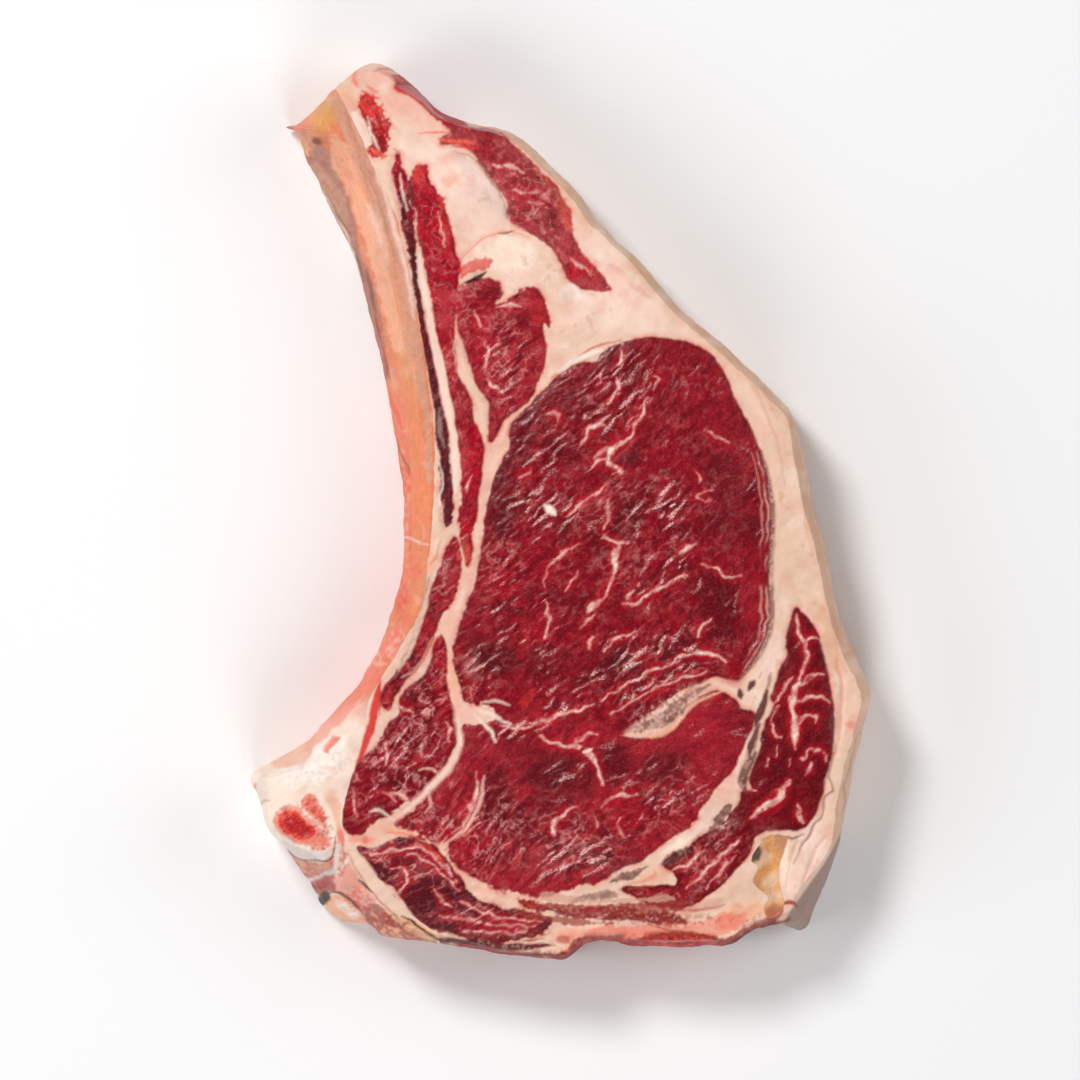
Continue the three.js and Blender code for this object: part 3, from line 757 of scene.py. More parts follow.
def paint_blots(canvas, blots):
    """Blots are soft elliptic patches: colour, strength, x, y, radius, radius, degrees."""
    for paint, strength, x, y, radius_x, radius_y, degrees in blots:
        part, cover = patch(x, y, radius_x, radius_y, degrees)
        lay(canvas, paint, strength * smoothstep(0.15, 0.75, cover + 0.12 * RAGS[part]), part)


def paint_streaks(canvas, streaks):
    """Streaks are lines that thin out at both ends: colour, strength, width, softness, points."""
    for paint, strength, width, soft, points in streaks:
        part, cover = stroke(tapered(points, width), soft, warp=0.7)
        lay(canvas, paint, strength * cover, part)


def paint_areas(canvas, areas):
    """Areas have an outline that strays a little: colour, strength, raggedness, points."""
    for paint, strength, ragged, points in areas:
        outline = smooth_line(points, 1.0, True)
        part = window(outline, AREA_REACH)
        stray = ragged * (0.6 * RAGS[part] + 0.5 * WEAVE[part])
        depth = depth_in(outline, AREA_REACH)[part] + stray
        lay(canvas, paint, strength * smoothstep(-0.35, 0.35, depth), part)


def paint_speckles(canvas, places):
    """Speckled places: dark and light colour, strength, x, y, radius, radius, degrees."""
    for dark, light, strength, x, y, radius_x, radius_y, degrees in places:
        part, cover = patch(x, y, radius_x, radius_y, degrees)
        grains = 1.2 * SPECK[part] + 0.4 * RAGS[part]
        edge = strength * smoothstep(0.2, 0.6, cover)
        lay(canvas, dark, edge * smoothstep(0.0, 0.6, grains), part)
        lay(canvas, light, edge * smoothstep(0.2, 0.8, -grains), part)


# Colours as seen in the photo's light

DEEP = colour(84, 2, 16)
WINE = colour(116, 0, 14)
PLUM = colour(92, 26, 36)
CRIMSON = colour(164, 2, 28)
MEAT = colour(148, 6, 28)
FLESH = colour(168, 26, 42)
SCARLET = colour(186, 6, 36)
RED = colour(222, 52, 48)
ROSY = colour(186, 66, 70)
BRICK = colour(156, 52, 46)
UMBER = colour(104, 52, 42)
RIM_RED = colour(146, 34, 34)
BLACK_RED = colour(44, 14, 16)
BEAD = colour(96, 42, 40)
HALO = colour(186, 10, 36)
# Pale threads of marbling; also the painted highlight on the lit flanks of the ridges
THREAD_AND_HIGHLIGHT = colour(226, 148, 142)
# Painted glints, mixed into the colour where the sheen lies
PAINTED_GLINT = colour(242, 204, 196)
VEIN = colour(240, 190, 174)
WHITE = colour(252, 240, 230)
MILK = colour(250, 226, 208)
PALE = colour(248, 214, 199)
CREAM = colour(238, 200, 178)
SAND = colour(230, 194, 168)
BLUSH = colour(240, 184, 168)
PINK = colour(228, 158, 142)
PEACH = colour(242, 176, 142)
TAN = colour(222, 172, 138)
OCHRE = colour(222, 158, 96)
ORANGE = colour(240, 140, 88)
SALMON = colour(240, 132, 110)
CORAL = colour(232, 96, 78)
RUST = colour(190, 78, 62)
DUSTY = colour(210, 156, 132)
MAUVE = colour(166, 116, 104)
SMOKE = colour(150, 112, 102)
GREY = colour(158, 132, 122)
LILAC = colour(222, 206, 202)
FLANK = colour(226, 132, 94)
APRICOT = colour(228, 140, 98)

# The colour of each muscle before anything is painted on it
MUSCLE_TONES = [
    ("eye_muscle", MEAT), ("under_muscle", FLESH), ("cap_muscle", WINE), ("corner_muscle", MEAT),
    ("bottom_muscle", PLUM), ("upper_muscle", FLESH), ("rib_strip", SCARLET), ("lower_rib_strip", FLESH),
    ("dark_strip", PLUM), ("end_muscle", RED), ("top_strip", ROSY), ("bottom_strip", BRICK),
    ("edge_strip", BRICK),
]

# The meat: blots, veins of marbling and the places where its fibres, curls and border differ

MEAT_BLOTS = [
    (DEEP, 0.55, -14, 20, 5, 14, -25), (DEEP, 0.6, -18, 2, 5, 12, 0), (DEEP, 0.4, -2, 34, 9, 6, 30),
    (FLESH, 0.35, 44, 26, 14, 18, 0), (PLUM, 0.45, 48, 6, 9, 14, 0), (DEEP, 0.75, 48, -28, 7, 13, 10),
    (FLESH, 0.6, 57, -27, 4, 11, 0), (FLESH, 0.5, 57, 22, 3, 14, 15), (FLESH, 0.3, 25, 42, 12, 6, 0),
    (CRIMSON, 0.85, 41, -7, 2.6, 5.5, 0), (CRIMSON, 0.7, 8, -7, 4, 5, -20),
    (SCARLET, 0.7, 17, 23, 3.5, 1.8, 30), (SCARLET, 0.7, 22.5, 30, 1.8, 4, -15),
    (CRIMSON, 0.6, 13, 3, 2, 6, 0), (SCARLET, 0.5, -17, -20, 6, 9, 0), (SCARLET, 0.4, -9, -37, 5, 3, 40),
    (DEEP, 0.45, -4, -46, 9, 5, 20), (DEEP, 0.45, 15, -46, 9, 4, 30), (PLUM, 0.7, 20, 16, 4, 2.6, 10),
    (PLUM, 0.5, 20, -3, 4.5, 8, 0), (ROSY, 0.5, 25, -30, 6, 2.4, 10),
    (BLACK_RED, 0.6, -20, -44, 9, 5, -20), (THREAD_AND_HIGHLIGHT, 0.4, -27, -47, 3, 4, 0),
    (RED, 0.5, -10, -56, 1.8, 4, -20), (DEEP, 0.75, 14, -76, 9, 6, 20), (DEEP, 0.75, -4, -78, 9, 6, 10),
    (DEEP, 0.6, 30, -76, 9, 5, 15), (DEEP, 0.7, -20, -84, 6, 9, 0), (FLESH, 0.5, 46, -70, 9, 8, 0),
    (DEEP, 0.5, -2, -95, 9, 8, 20), (DEEP, 0.5, 0, -84, 12, 6, 20), (DEEP, 0.35, 8, -4, 12, 10, 30),
    (DEEP, 0.3, 20, 44, 12, 6, 20), (CRIMSON, 0.8, 16, -88, 3, 1.3, 10),
    (CRIMSON, 0.7, 38, -93, 5, 2.4, 45), (CRIMSON, 0.5, -6, -68, 5, 2, 20),
    (MEAT, 0.8, 24, -92, 9, 6, 20), (ROSY, 0.45, -6, -104, 12, 6, 10), (CRIMSON, 0.5, -26, -100, 5, 6, 0),
    (ROSY, 0.75, 44, -107, 8, 5, 40), (FLESH, 0.7, 30, -115, 9, 2.6, 0),
    (SCARLET, 0.7, 39, -110, 3, 2, 30), (MEAT, 0.6, 50, -101, 6, 4, 40),
    (SCARLET, 0.7, -36, -44, 2.6, 7, 12), (DEEP, 0.5, -42, -57, 5, 7, 10),
    (FLESH, 0.6, -54, -72, 3, 3, 0), (FLESH, 0.4, -46, -70, 6, 8, 10), (SCARLET, 0.5, -35, -59, 2, 5, 0),
    (DEEP, 0.4, -50, -82, 9, 5, 30), (SCARLET, 0.5, -33, -121.5, 4.5, 1.8, 0),
    (DEEP, 0.6, -40, -117, 6, 5, 0), (ROSY, 0.45, -40, -107, 5, 3, -30),
    (MEAT, 0.7, -54, -103.5, 6, 2.6, -20), (ROSY, 0.4, -16, -124, 10, 3, -8),
    (SCARLET, 0.5, -25, 52, 3, 12, -10), (FLESH, 0.5, -15, 50, 8, 9, 0), (MEAT, 0.7, -24, 64, 5, 5, 0),
    (RED, 0.4, -7, 60, 3, 5, 20), (MEAT, 0.5, -15, 56, 6, 3, 0), (RED, 0.85, -42.4, 101, 2.6, 4, 0),
    (RED, 0.75, -34.8, 86, 1.7, 8, 8), (CRIMSON, 0.6, -38, 76, 3, 9, 5), (ROSY, 0.5, -35, 60, 3, 10, 5),
    (ROSY, 0.5, -30, 33, 3, 8, 0), (SCARLET, 0.8, -26, 18, 2, 9, 5), (SCARLET, 0.6, -28, -2, 2.4, 7, -8),
    (CORAL, 0.6, -29, -12, 2, 4, 0), (ROSY, 0.6, -35, -18, 3, 5, 25), (DEEP, 0.6, -40, -28, 3, 6, 30),
    (SCARLET, 0.8, -52, -58, 2, 2.4, 0), (DEEP, 0.7, -46, -42, 2.4, 8, 35),
    (DEEP, 0.5, -50, -50, 2.4, 5, 40), (CORAL, 0.85, 1.5, 90, 2.6, 8, 15),
    (CORAL, 0.6, -5, 103, 3, 6, 35), (MEAT, 0.75, -21, 109, 5, 5, -30), (MEAT, 0.5, -12, 90, 5, 6, 0),
    (SCARLET, 0.85, 4, 72, 3, 2.6, 30), (MEAT, 0.5, -27, 114.5, 6, 2, -20), (RED, 0.35, 8, 74, 4, 6, 40),
    (MEAT, 0.4, -14, 99, 6, 4, -30), (SCARLET, 0.95, -48.6, 102, 3, 7, 8), (DEEP, 0.5, -46, 86, 2, 8, 8),
    (ROSY, 0.5, -33, 44, 3, 8, 0), (ROSY, 0.6, -30, 18, 2, 6, 0), (CRIMSON, 0.6, -55, 112, 3, 6, 20),
    (ROSY, 0.4, 10, 3, 6, 3, 30),
]
# Veins of marbling: width, points
VEINS = [
    (0.8, [(18.5, 48), (18.2, 45.6), (15.3, 42.8)]),
    (1.0, [(16.5, 40), (17.6, 37), (16.6, 34.4), (13.5, 32)]),
    (0.8, [(27.5, 40.8), (29.4, 39.2), (28.2, 36.6)]), (0.7, [(12, 41), (12, 39), (10.6, 38)]),
    (0.8, [(26.5, 34), (25, 33), (24.3, 29), (22, 26), (21, 22.4), (17, 19.8), (13.4, 17)]),
    (1.7, [(20.6, 22), (17.5, 20), (13.6, 17.4), (13.6, 15), (16, 13), (18.5, 12)]),
    (0.9, [(13, 17), (10.8, 15.6), (9.4, 13.4)]), (0.8, [(15, 19), (11.8, 18.4), (10, 16.6)]),
    (1.0, [(13, 26.5), (10, 25.6), (8, 23.4), (6.4, 20)]),
    (1.1, [(-4.6, 29.4), (-2, 29.4), (-0.6, 28.4), (-0.6, 27)]),
    (0.8, [(4.5, 1.5), (7, 3.4), (11, 5.4), (14, 8)]), (0.7, [(7, 3.6), (4, 0.4), (1.6, -1.6)]),
    (1.3, [(13.8, 3), (14.4, 0), (13.2, -3.4), (12.3, -6)]), (1.0, [(12.5, -8), (16, -9), (20, -9.2)]),
    (1.6, [(17, -9), (16.6, -12), (16.6, -17), (14, -22.6)]),
    (0.9, [(15, -20), (13, -24.6), (10, -28), (7.6, -30)]),
    (1.2, [(34.5, -12.6), (37, -11.4), (40.6, -9.8)]), (0.7, [(43.3, 24), (46, 22.8), (50, 20)]),
    (0.6, [(40.3, 12.5), (41.2, 10.6), (42.3, 8.5)]),
    (0.6, [(45.4, 6.4), (42, 5.4), (40.2, 4.2), (42.8, 3.2), (45.8, 2.6)]),
    (0.6, [(-5, -23), (-4.4, -18), (-1.4, -14), (2, -11.6), (5, -9.8)]),
    (0.6, [(5.5, -18), (3, -21), (1, -24)]), (0.8, [(-5, -38.5), (-3.4, -34), (-4.2, -30), (-4.6, -27)]),
    (0.9, [(9.7, -31), (7.8, -32.8), (6.5, -35)]), (0.9, [(8.5, -41), (9, -38.5), (9.8, -37)]),
    (0.9, [(13, -41.5), (15.4, -39.2), (19, -37.6), (22.5, -36)]),
    (0.8, [(-12.4, 10.4), (-10.5, 11), (-8.6, 12.4)]), (0.7, [(23.5, -22), (21.4, -24.6), (20.8, -27)]),
    (1.3, [(18.6, -28), (22, -28.2), (25.4, -26), (29, -23.6), (34, -21), (38, -19.4)]),
    (0.8, [(42.5, -16), (46.6, -17.4), (50, -19.8), (54.3, -19.4)]),
    (0.9, [(45, -32.5), (42.4, -34.8), (41.2, -37.6)]),
    (1.3, [(34, -44.4), (38, -43), (42, -42.4), (46, -43), (49, -45.5)]),
    (0.8, [(12, -57), (20, -52), (28, -47.5), (36, -45)]),
    (0.6, [(14, -61), (24, -55.5), (34, -51), (44, -48.5)]),
    (1.1, [(-19, -63.5), (-14, -65), (-6, -63), (2, -60.6), (10, -58)]),
    (1.4, [(-6, -67.4), (-3.4, -69.4), (1, -70.4), (6.5, -71.2), (9.6, -74), (11.4, -79), (12, -82.6)]),
    (0.8, [(2, -71), (6, -68), (11, -66.6)]), (1.4, [(4.5, -89), (1, -90.4), (-2, -94), (-2.4, -97.6)]),
    (1.3, [(23, -85), (18.6, -84.8), (15, -86.6), (12, -88.4)]),
    (1.2, [(18.3, -92), (16.8, -94.4), (19, -97.5)]), (0.9, [(24.4, -91.5), (23.2, -93.4)]),
    (0.7, [(11, -92.5), (11.5, -95.4)]),
    (1.0, [(-25, -78), (-24.6, -82), (-26.6, -88), (-29.6, -94), (-36, -99.5)]),
    (0.7, [(-24, -93), (-27, -95.6), (-31, -98.4)]), (0.7, [(-50.5, -57.5), (-47, -59), (-44, -61)]),
    (0.9, [(-53, -70), (-52, -73), (-52.4, -76)]), (1.0, [(-45.8, -78), (-44, -75.4)]),
    (0.9, [(-57, -86), (-53, -84.4), (-49, -87)]), (0.8, [(-62.5, -84), (-62, -88), (-60.5, -92)]),
    (1.8, [(-57, -94.4), (-54, -95.4), (-52, -98), (-51, -99.4)]),
    (1.0, [(-35, -63.5), (-33.5, -66), (-34, -69)]),
    (0.8, [(-57, -103), (-50, -101.6), (-43, -101.2), (-37, -104), (-31, -111)]),
    (0.6, [(-47.6, -103.6), (-42, -104), (-36, -108), (-30, -113.5)]),
    (0.9, [(-51, -107.4), (-47, -107.4), (-46, -110.6), (-48.6, -113.4), (-49, -116)]),
    (0.8, [(-38, -113.6), (-35, -117), (-32.6, -118.6)]),
    (0.7, [(-30, -117), (-22, -120.6), (-12, -122.4), (-6, -123)]),
    (0.7, [(-36, -121.4), (-28, -122.8), (-18, -124), (-8, -124.6)]),
    (0.9, [(-30, -125.5), (-20, -126.6), (-10, -125.4)]),
    (1.2, [(71, -31.4), (71.4, -36), (73, -40.6), (74, -43.6), (72.4, -48)]),
    (1.1, [(72.6, -40), (75, -37.8), (77.5, -38.6)]),
    (1.7, [(72.6, -47), (71.2, -52), (69.4, -57.4), (70, -62), (70.4, -67.6), (70.2, -71)]),
    (2.2, [(69.6, -61), (70.4, -65), (70, -70.4)]),
    (0.8, [(70, -57.5), (74, -55.8), (78, -55.8), (80.4, -58)]),
    (1.0, [(71, -63.2), (74, -61.6), (76.8, -62.6), (76.6, -64.4)]),
    (0.8, [(72, -52.4), (74.4, -49.6), (78.8, -49.4)]), (0.8, [(63, -58.4), (66, -54.4), (69.3, -50)]),
    (0.6, [(62.5, -63), (65, -58.4)]), (0.8, [(72, -74.6), (75, -71.6), (78, -71.6), (79.4, -75)]),
    (1.3, [(74.6, -75.6), (74, -77.4), (73.2, -78.6)]),
    (2.6, [(56.4, -92.4), (60, -89.6), (64, -87.2), (66.6, -84), (68.6, -80.4)]),
    (1.6, [(61, -87.6), (65.4, -86.4), (67, -86)]), (0.8, [(62.6, -64), (64, -67), (66, -67.6)]),
    (0.6, [(65, -70.4), (65, -74)]), (0.7, [(62, -74), (61.6, -76.4)]),
    (0.6, [(69, -74.4), (68.4, -76.4)]), (0.8, [(71, -88), (71.6, -91.4), (73, -93.4)]),
    (0.8, [(57, -83.4), (59, -84)]), (1.1, [(38, -113), (43, -108), (48, -103.6), (53, -99)]),
    (1.0, [(44, -113), (48, -108.4), (52, -104)]), (0.9, [(33, -108), (38, -105.6), (43, -101.4)]),
    (0.8, [(-25.5, 60), (-25, 57), (-24, 55)]), (0.8, [(-22.5, 51), (-21.8, 47), (-22.8, 41.5)]),
    (1.6, [(-22, 39.4), (-20, 37.4), (-17.4, 35.4)]), (1.1, [(-20, 61.4), (-16, 62), (-12, 61.4)]),
    (0.7, [(-37.4, 90), (-36.4, 86), (-34.8, 80)]), (0.8, [(-26.6, 10.6), (-27.6, 8.4), (-28.4, 6)]),
    (0.7, [(-31.4, 58), (-31.8, 50), (-31.4, 42)]), (1.2, [(-20, 103.6), (-15, 103.2), (-11, 101.4)]),
    (1.2, [(-15, 96.4), (-11, 95.8), (-7, 95.6)]), (0.8, [(3, 76), (6, 73), (9.4, 70.6)]),
    (0.7, [(-10, 93), (-5, 92.6)]), (0.7, [(-45.4, 93), (-44, 88), (-43, 84)]),
]
# A fleck of white fat in the eye
FLECK = [(-4.8, 1.6), (-3.3, 0.3), (-2.0, -1.0)]
# Where the fibres stand up and glint: x, y, radius, radius, degrees, strength
ROUGH_PLACES = [
    (-7, 22, 11, 12, 0, 0.6), (-8, -2, 14, 14, 0, 0.65), (31, -2, 11, 10, 0, 0.95),
    (30, -20, 11, 8, 0, 1.0), (24, -47, 24, 8, 22, 1.1), (-2, -60, 22, 5, 20, 0.85),
    (0, -79, 9, 5, 30, 0.7), (6, -104, 15, 6, 8, 1.0), (-26, -50, 8, 8, 0, 0.8), (28, -84, 14, 9, 0, 0.6),
    (59, 0, 4, 13, 0, 0.8), (59.5, -39, 3, 9, -25, 0.9), (-10, -32, 14, 12, 0, 0.6),
    (-15, 47, 9, 12, 0, 0.6), (-8, 95, 16, 10, -45, 0.7), (-50, -74, 14, 14, 0, 0.6),
    (-38, -95, 14, 6, 0, 0.5), (48, -103, 10, 7, 30, 0.7), (15, 34, 14, 12, 0, 0.55),
    (-20, -122, 18, 6, -8, 0.5), (-20, -96, 14, 14, 0, 0.6), (46, 42, 6, 8, 20, 0.35),
    (-14, -20, 10, 8, 0, 0.5), (12, 8, 9, 8, 0, 0.5),
]
# Where pale curls of marbling are thick: x, y, radius, radius, degrees, strength
CURLED_PLACES = [
    (-50, -76, 15, 18, 10, 1.1), (-40, -56, 9, 14, 0, 0.9), (-38, -95, 14, 7, 0, 1.1),
    (-26, -50, 7, 7, 0, 0.9), (-22, -98, 15, 14, 0, 0.85), (-8, 94, 18, 12, -45, 0.8),
    (-16, 46, 9, 14, 0, 0.8), (-45, -107, 15, 7, -25, 1.0), (-20, -121, 18, 6, 0, 0.8),
    (46, -104, 10, 8, 30, 1.1), (-18, -15, 7, 14, 0, 0.6), (0, -99, 20, 9, 0, 0.8),
    (16, 0, 34, 34, 0, 0.35), (30, -113, 10, 4, 0, 0.9), (-36, -20, 6, 9, 0, 0.8),
    (10, 32, 18, 16, 0, 0.35), (-32, 40, 6, 22, 0, 0.7), (32, -88, 14, 10, 0, 0.5),
    (10, -119, 28, 3, 0, 0.8), (28, 40, 18, 8, 0, 0.3), (30, -47, 22, 8, 20, 0.5),
    (-26, 62, 7, 8, 0, 0.6), (-38, 90, 5, 14, 5, 0.5), (-36, 68, 4, 14, 0, 0.6), (-55, 114, 5, 8, 0, 0.7),
    (-48, 95, 2, 14, 0, 0.6),
]
# Where the border of the meat strays from its outline: x, y, radius, radius, degrees,
# how far the meat grows over the fat and how ragged its border is, in millimetres
BORDER_PLACES = [
    (-46, 92, 5, 20, 10, 0.0, 0.9), (-38, 88, 6, 14, 10, 0.4, 0.8), (-34, 5, 9, 18, 0, 0.2, 0.7),
    (-37, -25, 8, 16, 25, 0.2, 0.6), (27, -115.5, 9, 3, 5, 1.2, 0.8), (-26, -60, 10, 7, 0, 0.8, 1.7),
    (-47, -92, 12, 7, 25, 0.0, 1.2), (-40, -101, 14, 6, -30, 0.5, 1.2), (41, -109, 12, 5, 42, 3.0, 1.2),
    (-18, -115, 16, 5, -12, 0.7, 1.0), (5, -116, 14, 6, 5, 0.4, 1.0), (-15, -126, 20, 6, -5, 0.3, 1.0),
    (-10, 100, 20, 14, -45, 0.1, 0.5), (-56, 115, 7, 11, 20, -0.6, 2.2), (-14, 60, 12, 14, 0, 0.3, 0.6),
    (42, -95, 9, 9, 45, 0.2, 0.6), (33, -62, 12, 6, 38, 0.2, 0.6),
]

OUTLINE_REACH = 8.0
DEPTHS = {name: depth_in(OUTLINES[name], OUTLINE_REACH) for name in OUTLINES}
# How deep each lattice point lies in a muscle
SIGNED = np.max([DEPTHS[name] for name, _ in MUSCLE_TONES], axis=0)
MEAT_MASK = smoothstep(-0.6, 0.1, SIGNED)
ROUGH = np.clip(places_field(ROUGH_PLACES) * (0.8 + 0.35 * MOTTLE), 0, 1)
ROUGH = ROUGH * (0.35 + 0.65 * smoothstep(0, 5, SIGNED))
CURLED = np.clip(places_field(CURLED_PLACES) * (0.85 + 0.3 * MOTTLE), 0, 1)
CREST = np.tanh(RIDGES / 0.3)
FIBRE_HEIGHT = (0.03 + 0.30 * ROUGH) * CREST * MEAT_MASK
GROWTH = 0.15 + places_field([place[:6] for place in BORDER_PLACES])
RAGGED = 0.18 + places_field([place[:5] + place[6:] for place in BORDER_PLACES])
BORDER = SIGNED + GROWTH + RAGGED * (0.45 * RAGS + 0.75 * MOTTLE + 0.2 * SPECK)


def toward_light(height):
    """How steeply the height falls towards the upper left, where the key light is, to place painted
    highlight and shade.
    """
    upper_left = (-0.63, 0.78)
    slope_y, slope_x = np.gradient(height, CELL)
    return -(slope_x * upper_left[0] + slope_y * upper_left[1])


LIT = toward_light(CREST)
# Painted highlight: how thick the glints lie that are painted on the flank of the ridges facing the
# upper-left light, gathered in tufts
GLINT_TUFTS = smoothstep(-0.35, 0.2, TUFTS + 1.5 * ROUGH - 0.8)
SHEEN = smoothstep(0.1, 0.7, LIT) * GLINT_TUFTS * (0.3 + 0.7 * ROUGH) * MEAT_MASK


def vein_cover():
    """How much of each lattice point the veins cover, with small gaps."""
    covered = np.zeros(X.shape)
    for width, points in VEINS:
        part, cover = stroke(tapered(points, 0.85 * width), 0.45, warp=1.6)
        gaps = smoothstep(-1.0, 0.1, 0.8 * RAGS[part] + 0.7 * WEAVE[part] + 0.5 * cover)
        covered[part] = np.maximum(covered[part], cover * gaps)
    return covered


VEIN_COVER = vein_cover()


def plain_canvas(paint):
    """A canvas of one colour."""
    canvas = np.empty(X.shape + (3,))
    canvas[:] = paint
    return canvas


def paint_curls(canvas):
    """Thin pale curls of marbling between the fibres."""
    for strength, lace in ((0.95, LACE), (0.8, SECOND_LACE)):
        curl = bell(lace, 0.12) * smoothstep(-0.5, 0.3, RAGS + 0.3 * WEAVE)
        lay(canvas, THREAD_AND_HIGHLIGHT, strength * CURLED * curl)


def paint_veins(canvas):
    """The veins and the fleck, pale in the middle."""
    lay(canvas, THREAD_AND_HIGHLIGHT, 0.85 * VEIN_COVER)
    lay(canvas, VEIN, VEIN_COVER**2 * smoothstep(-0.5, 0.2, WEAVE + 0.5 * MOTTLE))
    lay(canvas, WHITE, 0.6 * VEIN_COVER**2 * smoothstep(0.1, 0.6, WEAVE))
    part, cover = stroke(tapered(FLECK, 2.6), 0.4, warp=0.4)
    lay(canvas, MILK, cover, part)


def paint_meat():
    """The meat as if it covered the whole lattice."""
    canvas = plain_canvas(MEAT)
    for name, tone in MUSCLE_TONES:
        lay(canvas, tone, smoothstep(-1.6, -0.8, DEPTHS[name]))
    paint_blots(canvas, MEAT_BLOTS)
    lay(canvas, DEEP, 0.12 + 0.35 * smoothstep(0.0, 0.9, -CLOUD))
    lay(canvas, DEEP, (0.35 + 0.35 * ROUGH + 0.2 * CURLED) * smoothstep(0.0, 0.5, -WEAVE))
    lay(canvas, ROSY, (0.12 + 0.45 * CURLED) * smoothstep(0.05, 0.5, WEAVE + 0.2 * MOTTLE))
    paint_curls(canvas)
    for width, points in VEINS:
        part, cover = stroke(tapered(points, width + 2.4), 1.1)
        lay(canvas, HALO, 0.6 * cover, part)
    # Painted shade: darker colour on the ridge flanks turned away from the light
    lay(canvas, DEEP, 0.85 * smoothstep(0.1, 0.7, -LIT) * (0.12 + 0.88 * ROUGH))
    # Painted highlight: pale colour on the ridge flanks that face the light
    lay(canvas, THREAD_AND_HIGHLIGHT, 0.3 * SHEEN)
    paint_veins(canvas)
    return canvas


# The fat: blots, areas, streaks, speckled places and what is painted one by one

FAT_BLOTS = [
    (BLUSH, 0.9, -50, 128, 14, 9, -40), (SALMON, 0.7, -62, 130.5, 1.6, 2.6, -10),
    (PEACH, 0.6, -64, 124, 3, 4, 0), (CORAL, 0.6, -56.5, 126.5, 2, 0.9, -20),
    (PALE, 0.9, -36, 100, 12, 12, 0), (PALE, 0.8, -25, 93, 9, 14, 0), (PEACH, 0.5, -33, 99, 3, 2, 20),
    (BLUSH, 0.6, -31, 107, 8, 2, 20), (MILK, 0.8, -15, 77, 9, 6, 0), (BLUSH, 0.5, -30, 78, 4, 5, 0),
    (PALE, 0.6, -13, 68, 6, 3, 0), (BLUSH, 0.5, -38, 115, 8, 4, -20), (PALE, 0.8, 12, 62, 12, 8, 20),
    (PALE, 0.7, 25, 60, 10, 5, -40), (PALE, 0.7, 11, 76, 7, 9, 40), (TAN, 0.8, 24, 74, 16, 2.4, -48),
    (TAN, 0.8, 45, 53, 18, 2.6, -42), (TAN, 0.7, 66, 32, 10, 2.6, -55), (TAN, 0.8, -14, 113, 8, 1.8, -15),
    (OCHRE, 0.35, 0, 102, 10, 2.6, -55), (SAND, 0.7, 66, 20, 5, 14, 0), (SAND, 0.7, 68, -6, 4, 12, 0),
    (TAN, 0.6, 75, 0, 2, 26, 12), (SAND, 0.8, 72, -20, 7, 10, 0), (OCHRE, 0.5, 66, 4.5, 1, 2, 0),
    (TAN, 0.7, 82, -40, 5, 14, 20), (OCHRE, 0.35, 87, -42, 1.6, 3, 0),
    (SALMON, 0.7, 87, -64, 1.6, 0.9, 0), (PALE, 0.7, 64, -44, 4, 8, -30), (PALE, 0.7, 57, -56, 4, 3, 0),
    (SAND, 0.8, 84, -80, 4, 14, 10), (PALE, 0.8, 76, -100, 5, 8, 20), (MILK, 0.8, 67, -105, 2, 7, 0),
    (PALE, 0.7, 70, -114, 3, 5, 30), (SAND, 0.8, 55, -114, 6, 5, 30), (PEACH, 0.8, 56, -120, 8, 3, 10),
    (CORAL, 0.6, 50, -123.5, 5, 2.6, 0), (PINK, 0.6, 30, -124.5, 12, 2, 0),
    (SALMON, 0.6, 14, -127, 20, 2.2, 0), (TAN, 0.8, -14, -128, 14, 2.4, -6),
    (RUST, 0.8, 1, -128.5, 3, 1.8, 0), (RUST, 0.6, 10, -127, 3, 1.2, 0), (BRICK, 0.9, 0, -134.2, 5, 2, 0),
    (BRICK, 0.7, 12, -129.6, 5, 1, 0), (RUST, 0.7, 24, -130.5, 6, 1.4, 0),
    (BRICK, 0.8, 34, -128.5, 5, 1.3, 0), (BRICK, 0.7, 45, -128, 2, 1.4, 0),
    (BRICK, 0.8, 54, -129, 3, 1.3, 30), (PALE, 0.8, 44, -93, 6, 4, 55),
    (MILK, 0.9, 35, -100.5, 6, 2.6, 35), (BLUSH, 0.7, 50, -82, 4, 6, -40),
    (PEACH, 0.7, 29, -108.5, 5, 2.4, 10), (PALE, 0.8, 0, -116, 8, 1.6, 5),
    (BLUSH, 0.8, -20, -114.5, 9, 1.6, -12), (BLUSH, 0.8, -32, -107, 6, 2, -45),
    (PINK, 0.7, -38, -99, 6, 1.6, -10), (PEACH, 0.8, -50, -95.5, 8, 2, -5),
    (SALMON, 0.7, -60, -98.5, 5, 1.6, 0), (CORAL, 0.8, -58.2, -98.5, 1.2, 1.0, 0),
    (BLUSH, 0.8, -28, -60, 5, 5, 0), (PEACH, 0.7, -32, -50, 2, 9, 0), (BLUSH, 0.8, -32, -36, 3, 7, 20),
    (BLUSH, 0.8, -27, -22, 3, 10, 15), (BLUSH, 0.7, -23, 6, 3, 12, 5), (BLUSH, 0.7, -19, 22, 3, 8, -25),
    (BLUSH, 0.6, -12, 33, 2.4, 6, -45), (SAND, 0.8, -37, -8, 3.4, 4, -20),
    (PEACH, 0.7, -40, -14, 3, 6, -10), (BLUSH, 0.6, -47, 88, 2, 8, 15), (DUSTY, 0.5, -60, 116, 3, 8, 20),
    (PINK, 0.7, -44, -47, 2, 10, -40), (BLUSH, 0.7, -40, -82, 5, 4, 45), (PINK, 0.6, -30, -72, 2, 6, 0),
    (BLUSH, 0.7, -46, -89, 4, 1.6, 40), (DUSTY, 0.6, 44, -117.8, 8, 1.4, 15),
    (PINK, 0.45, 22, 68, 9, 1.2, -40), (PINK, 0.4, 40, 56, 8, 1.0, -42), (WHITE, 0.5, 4, 66, 7, 3, 20),
]
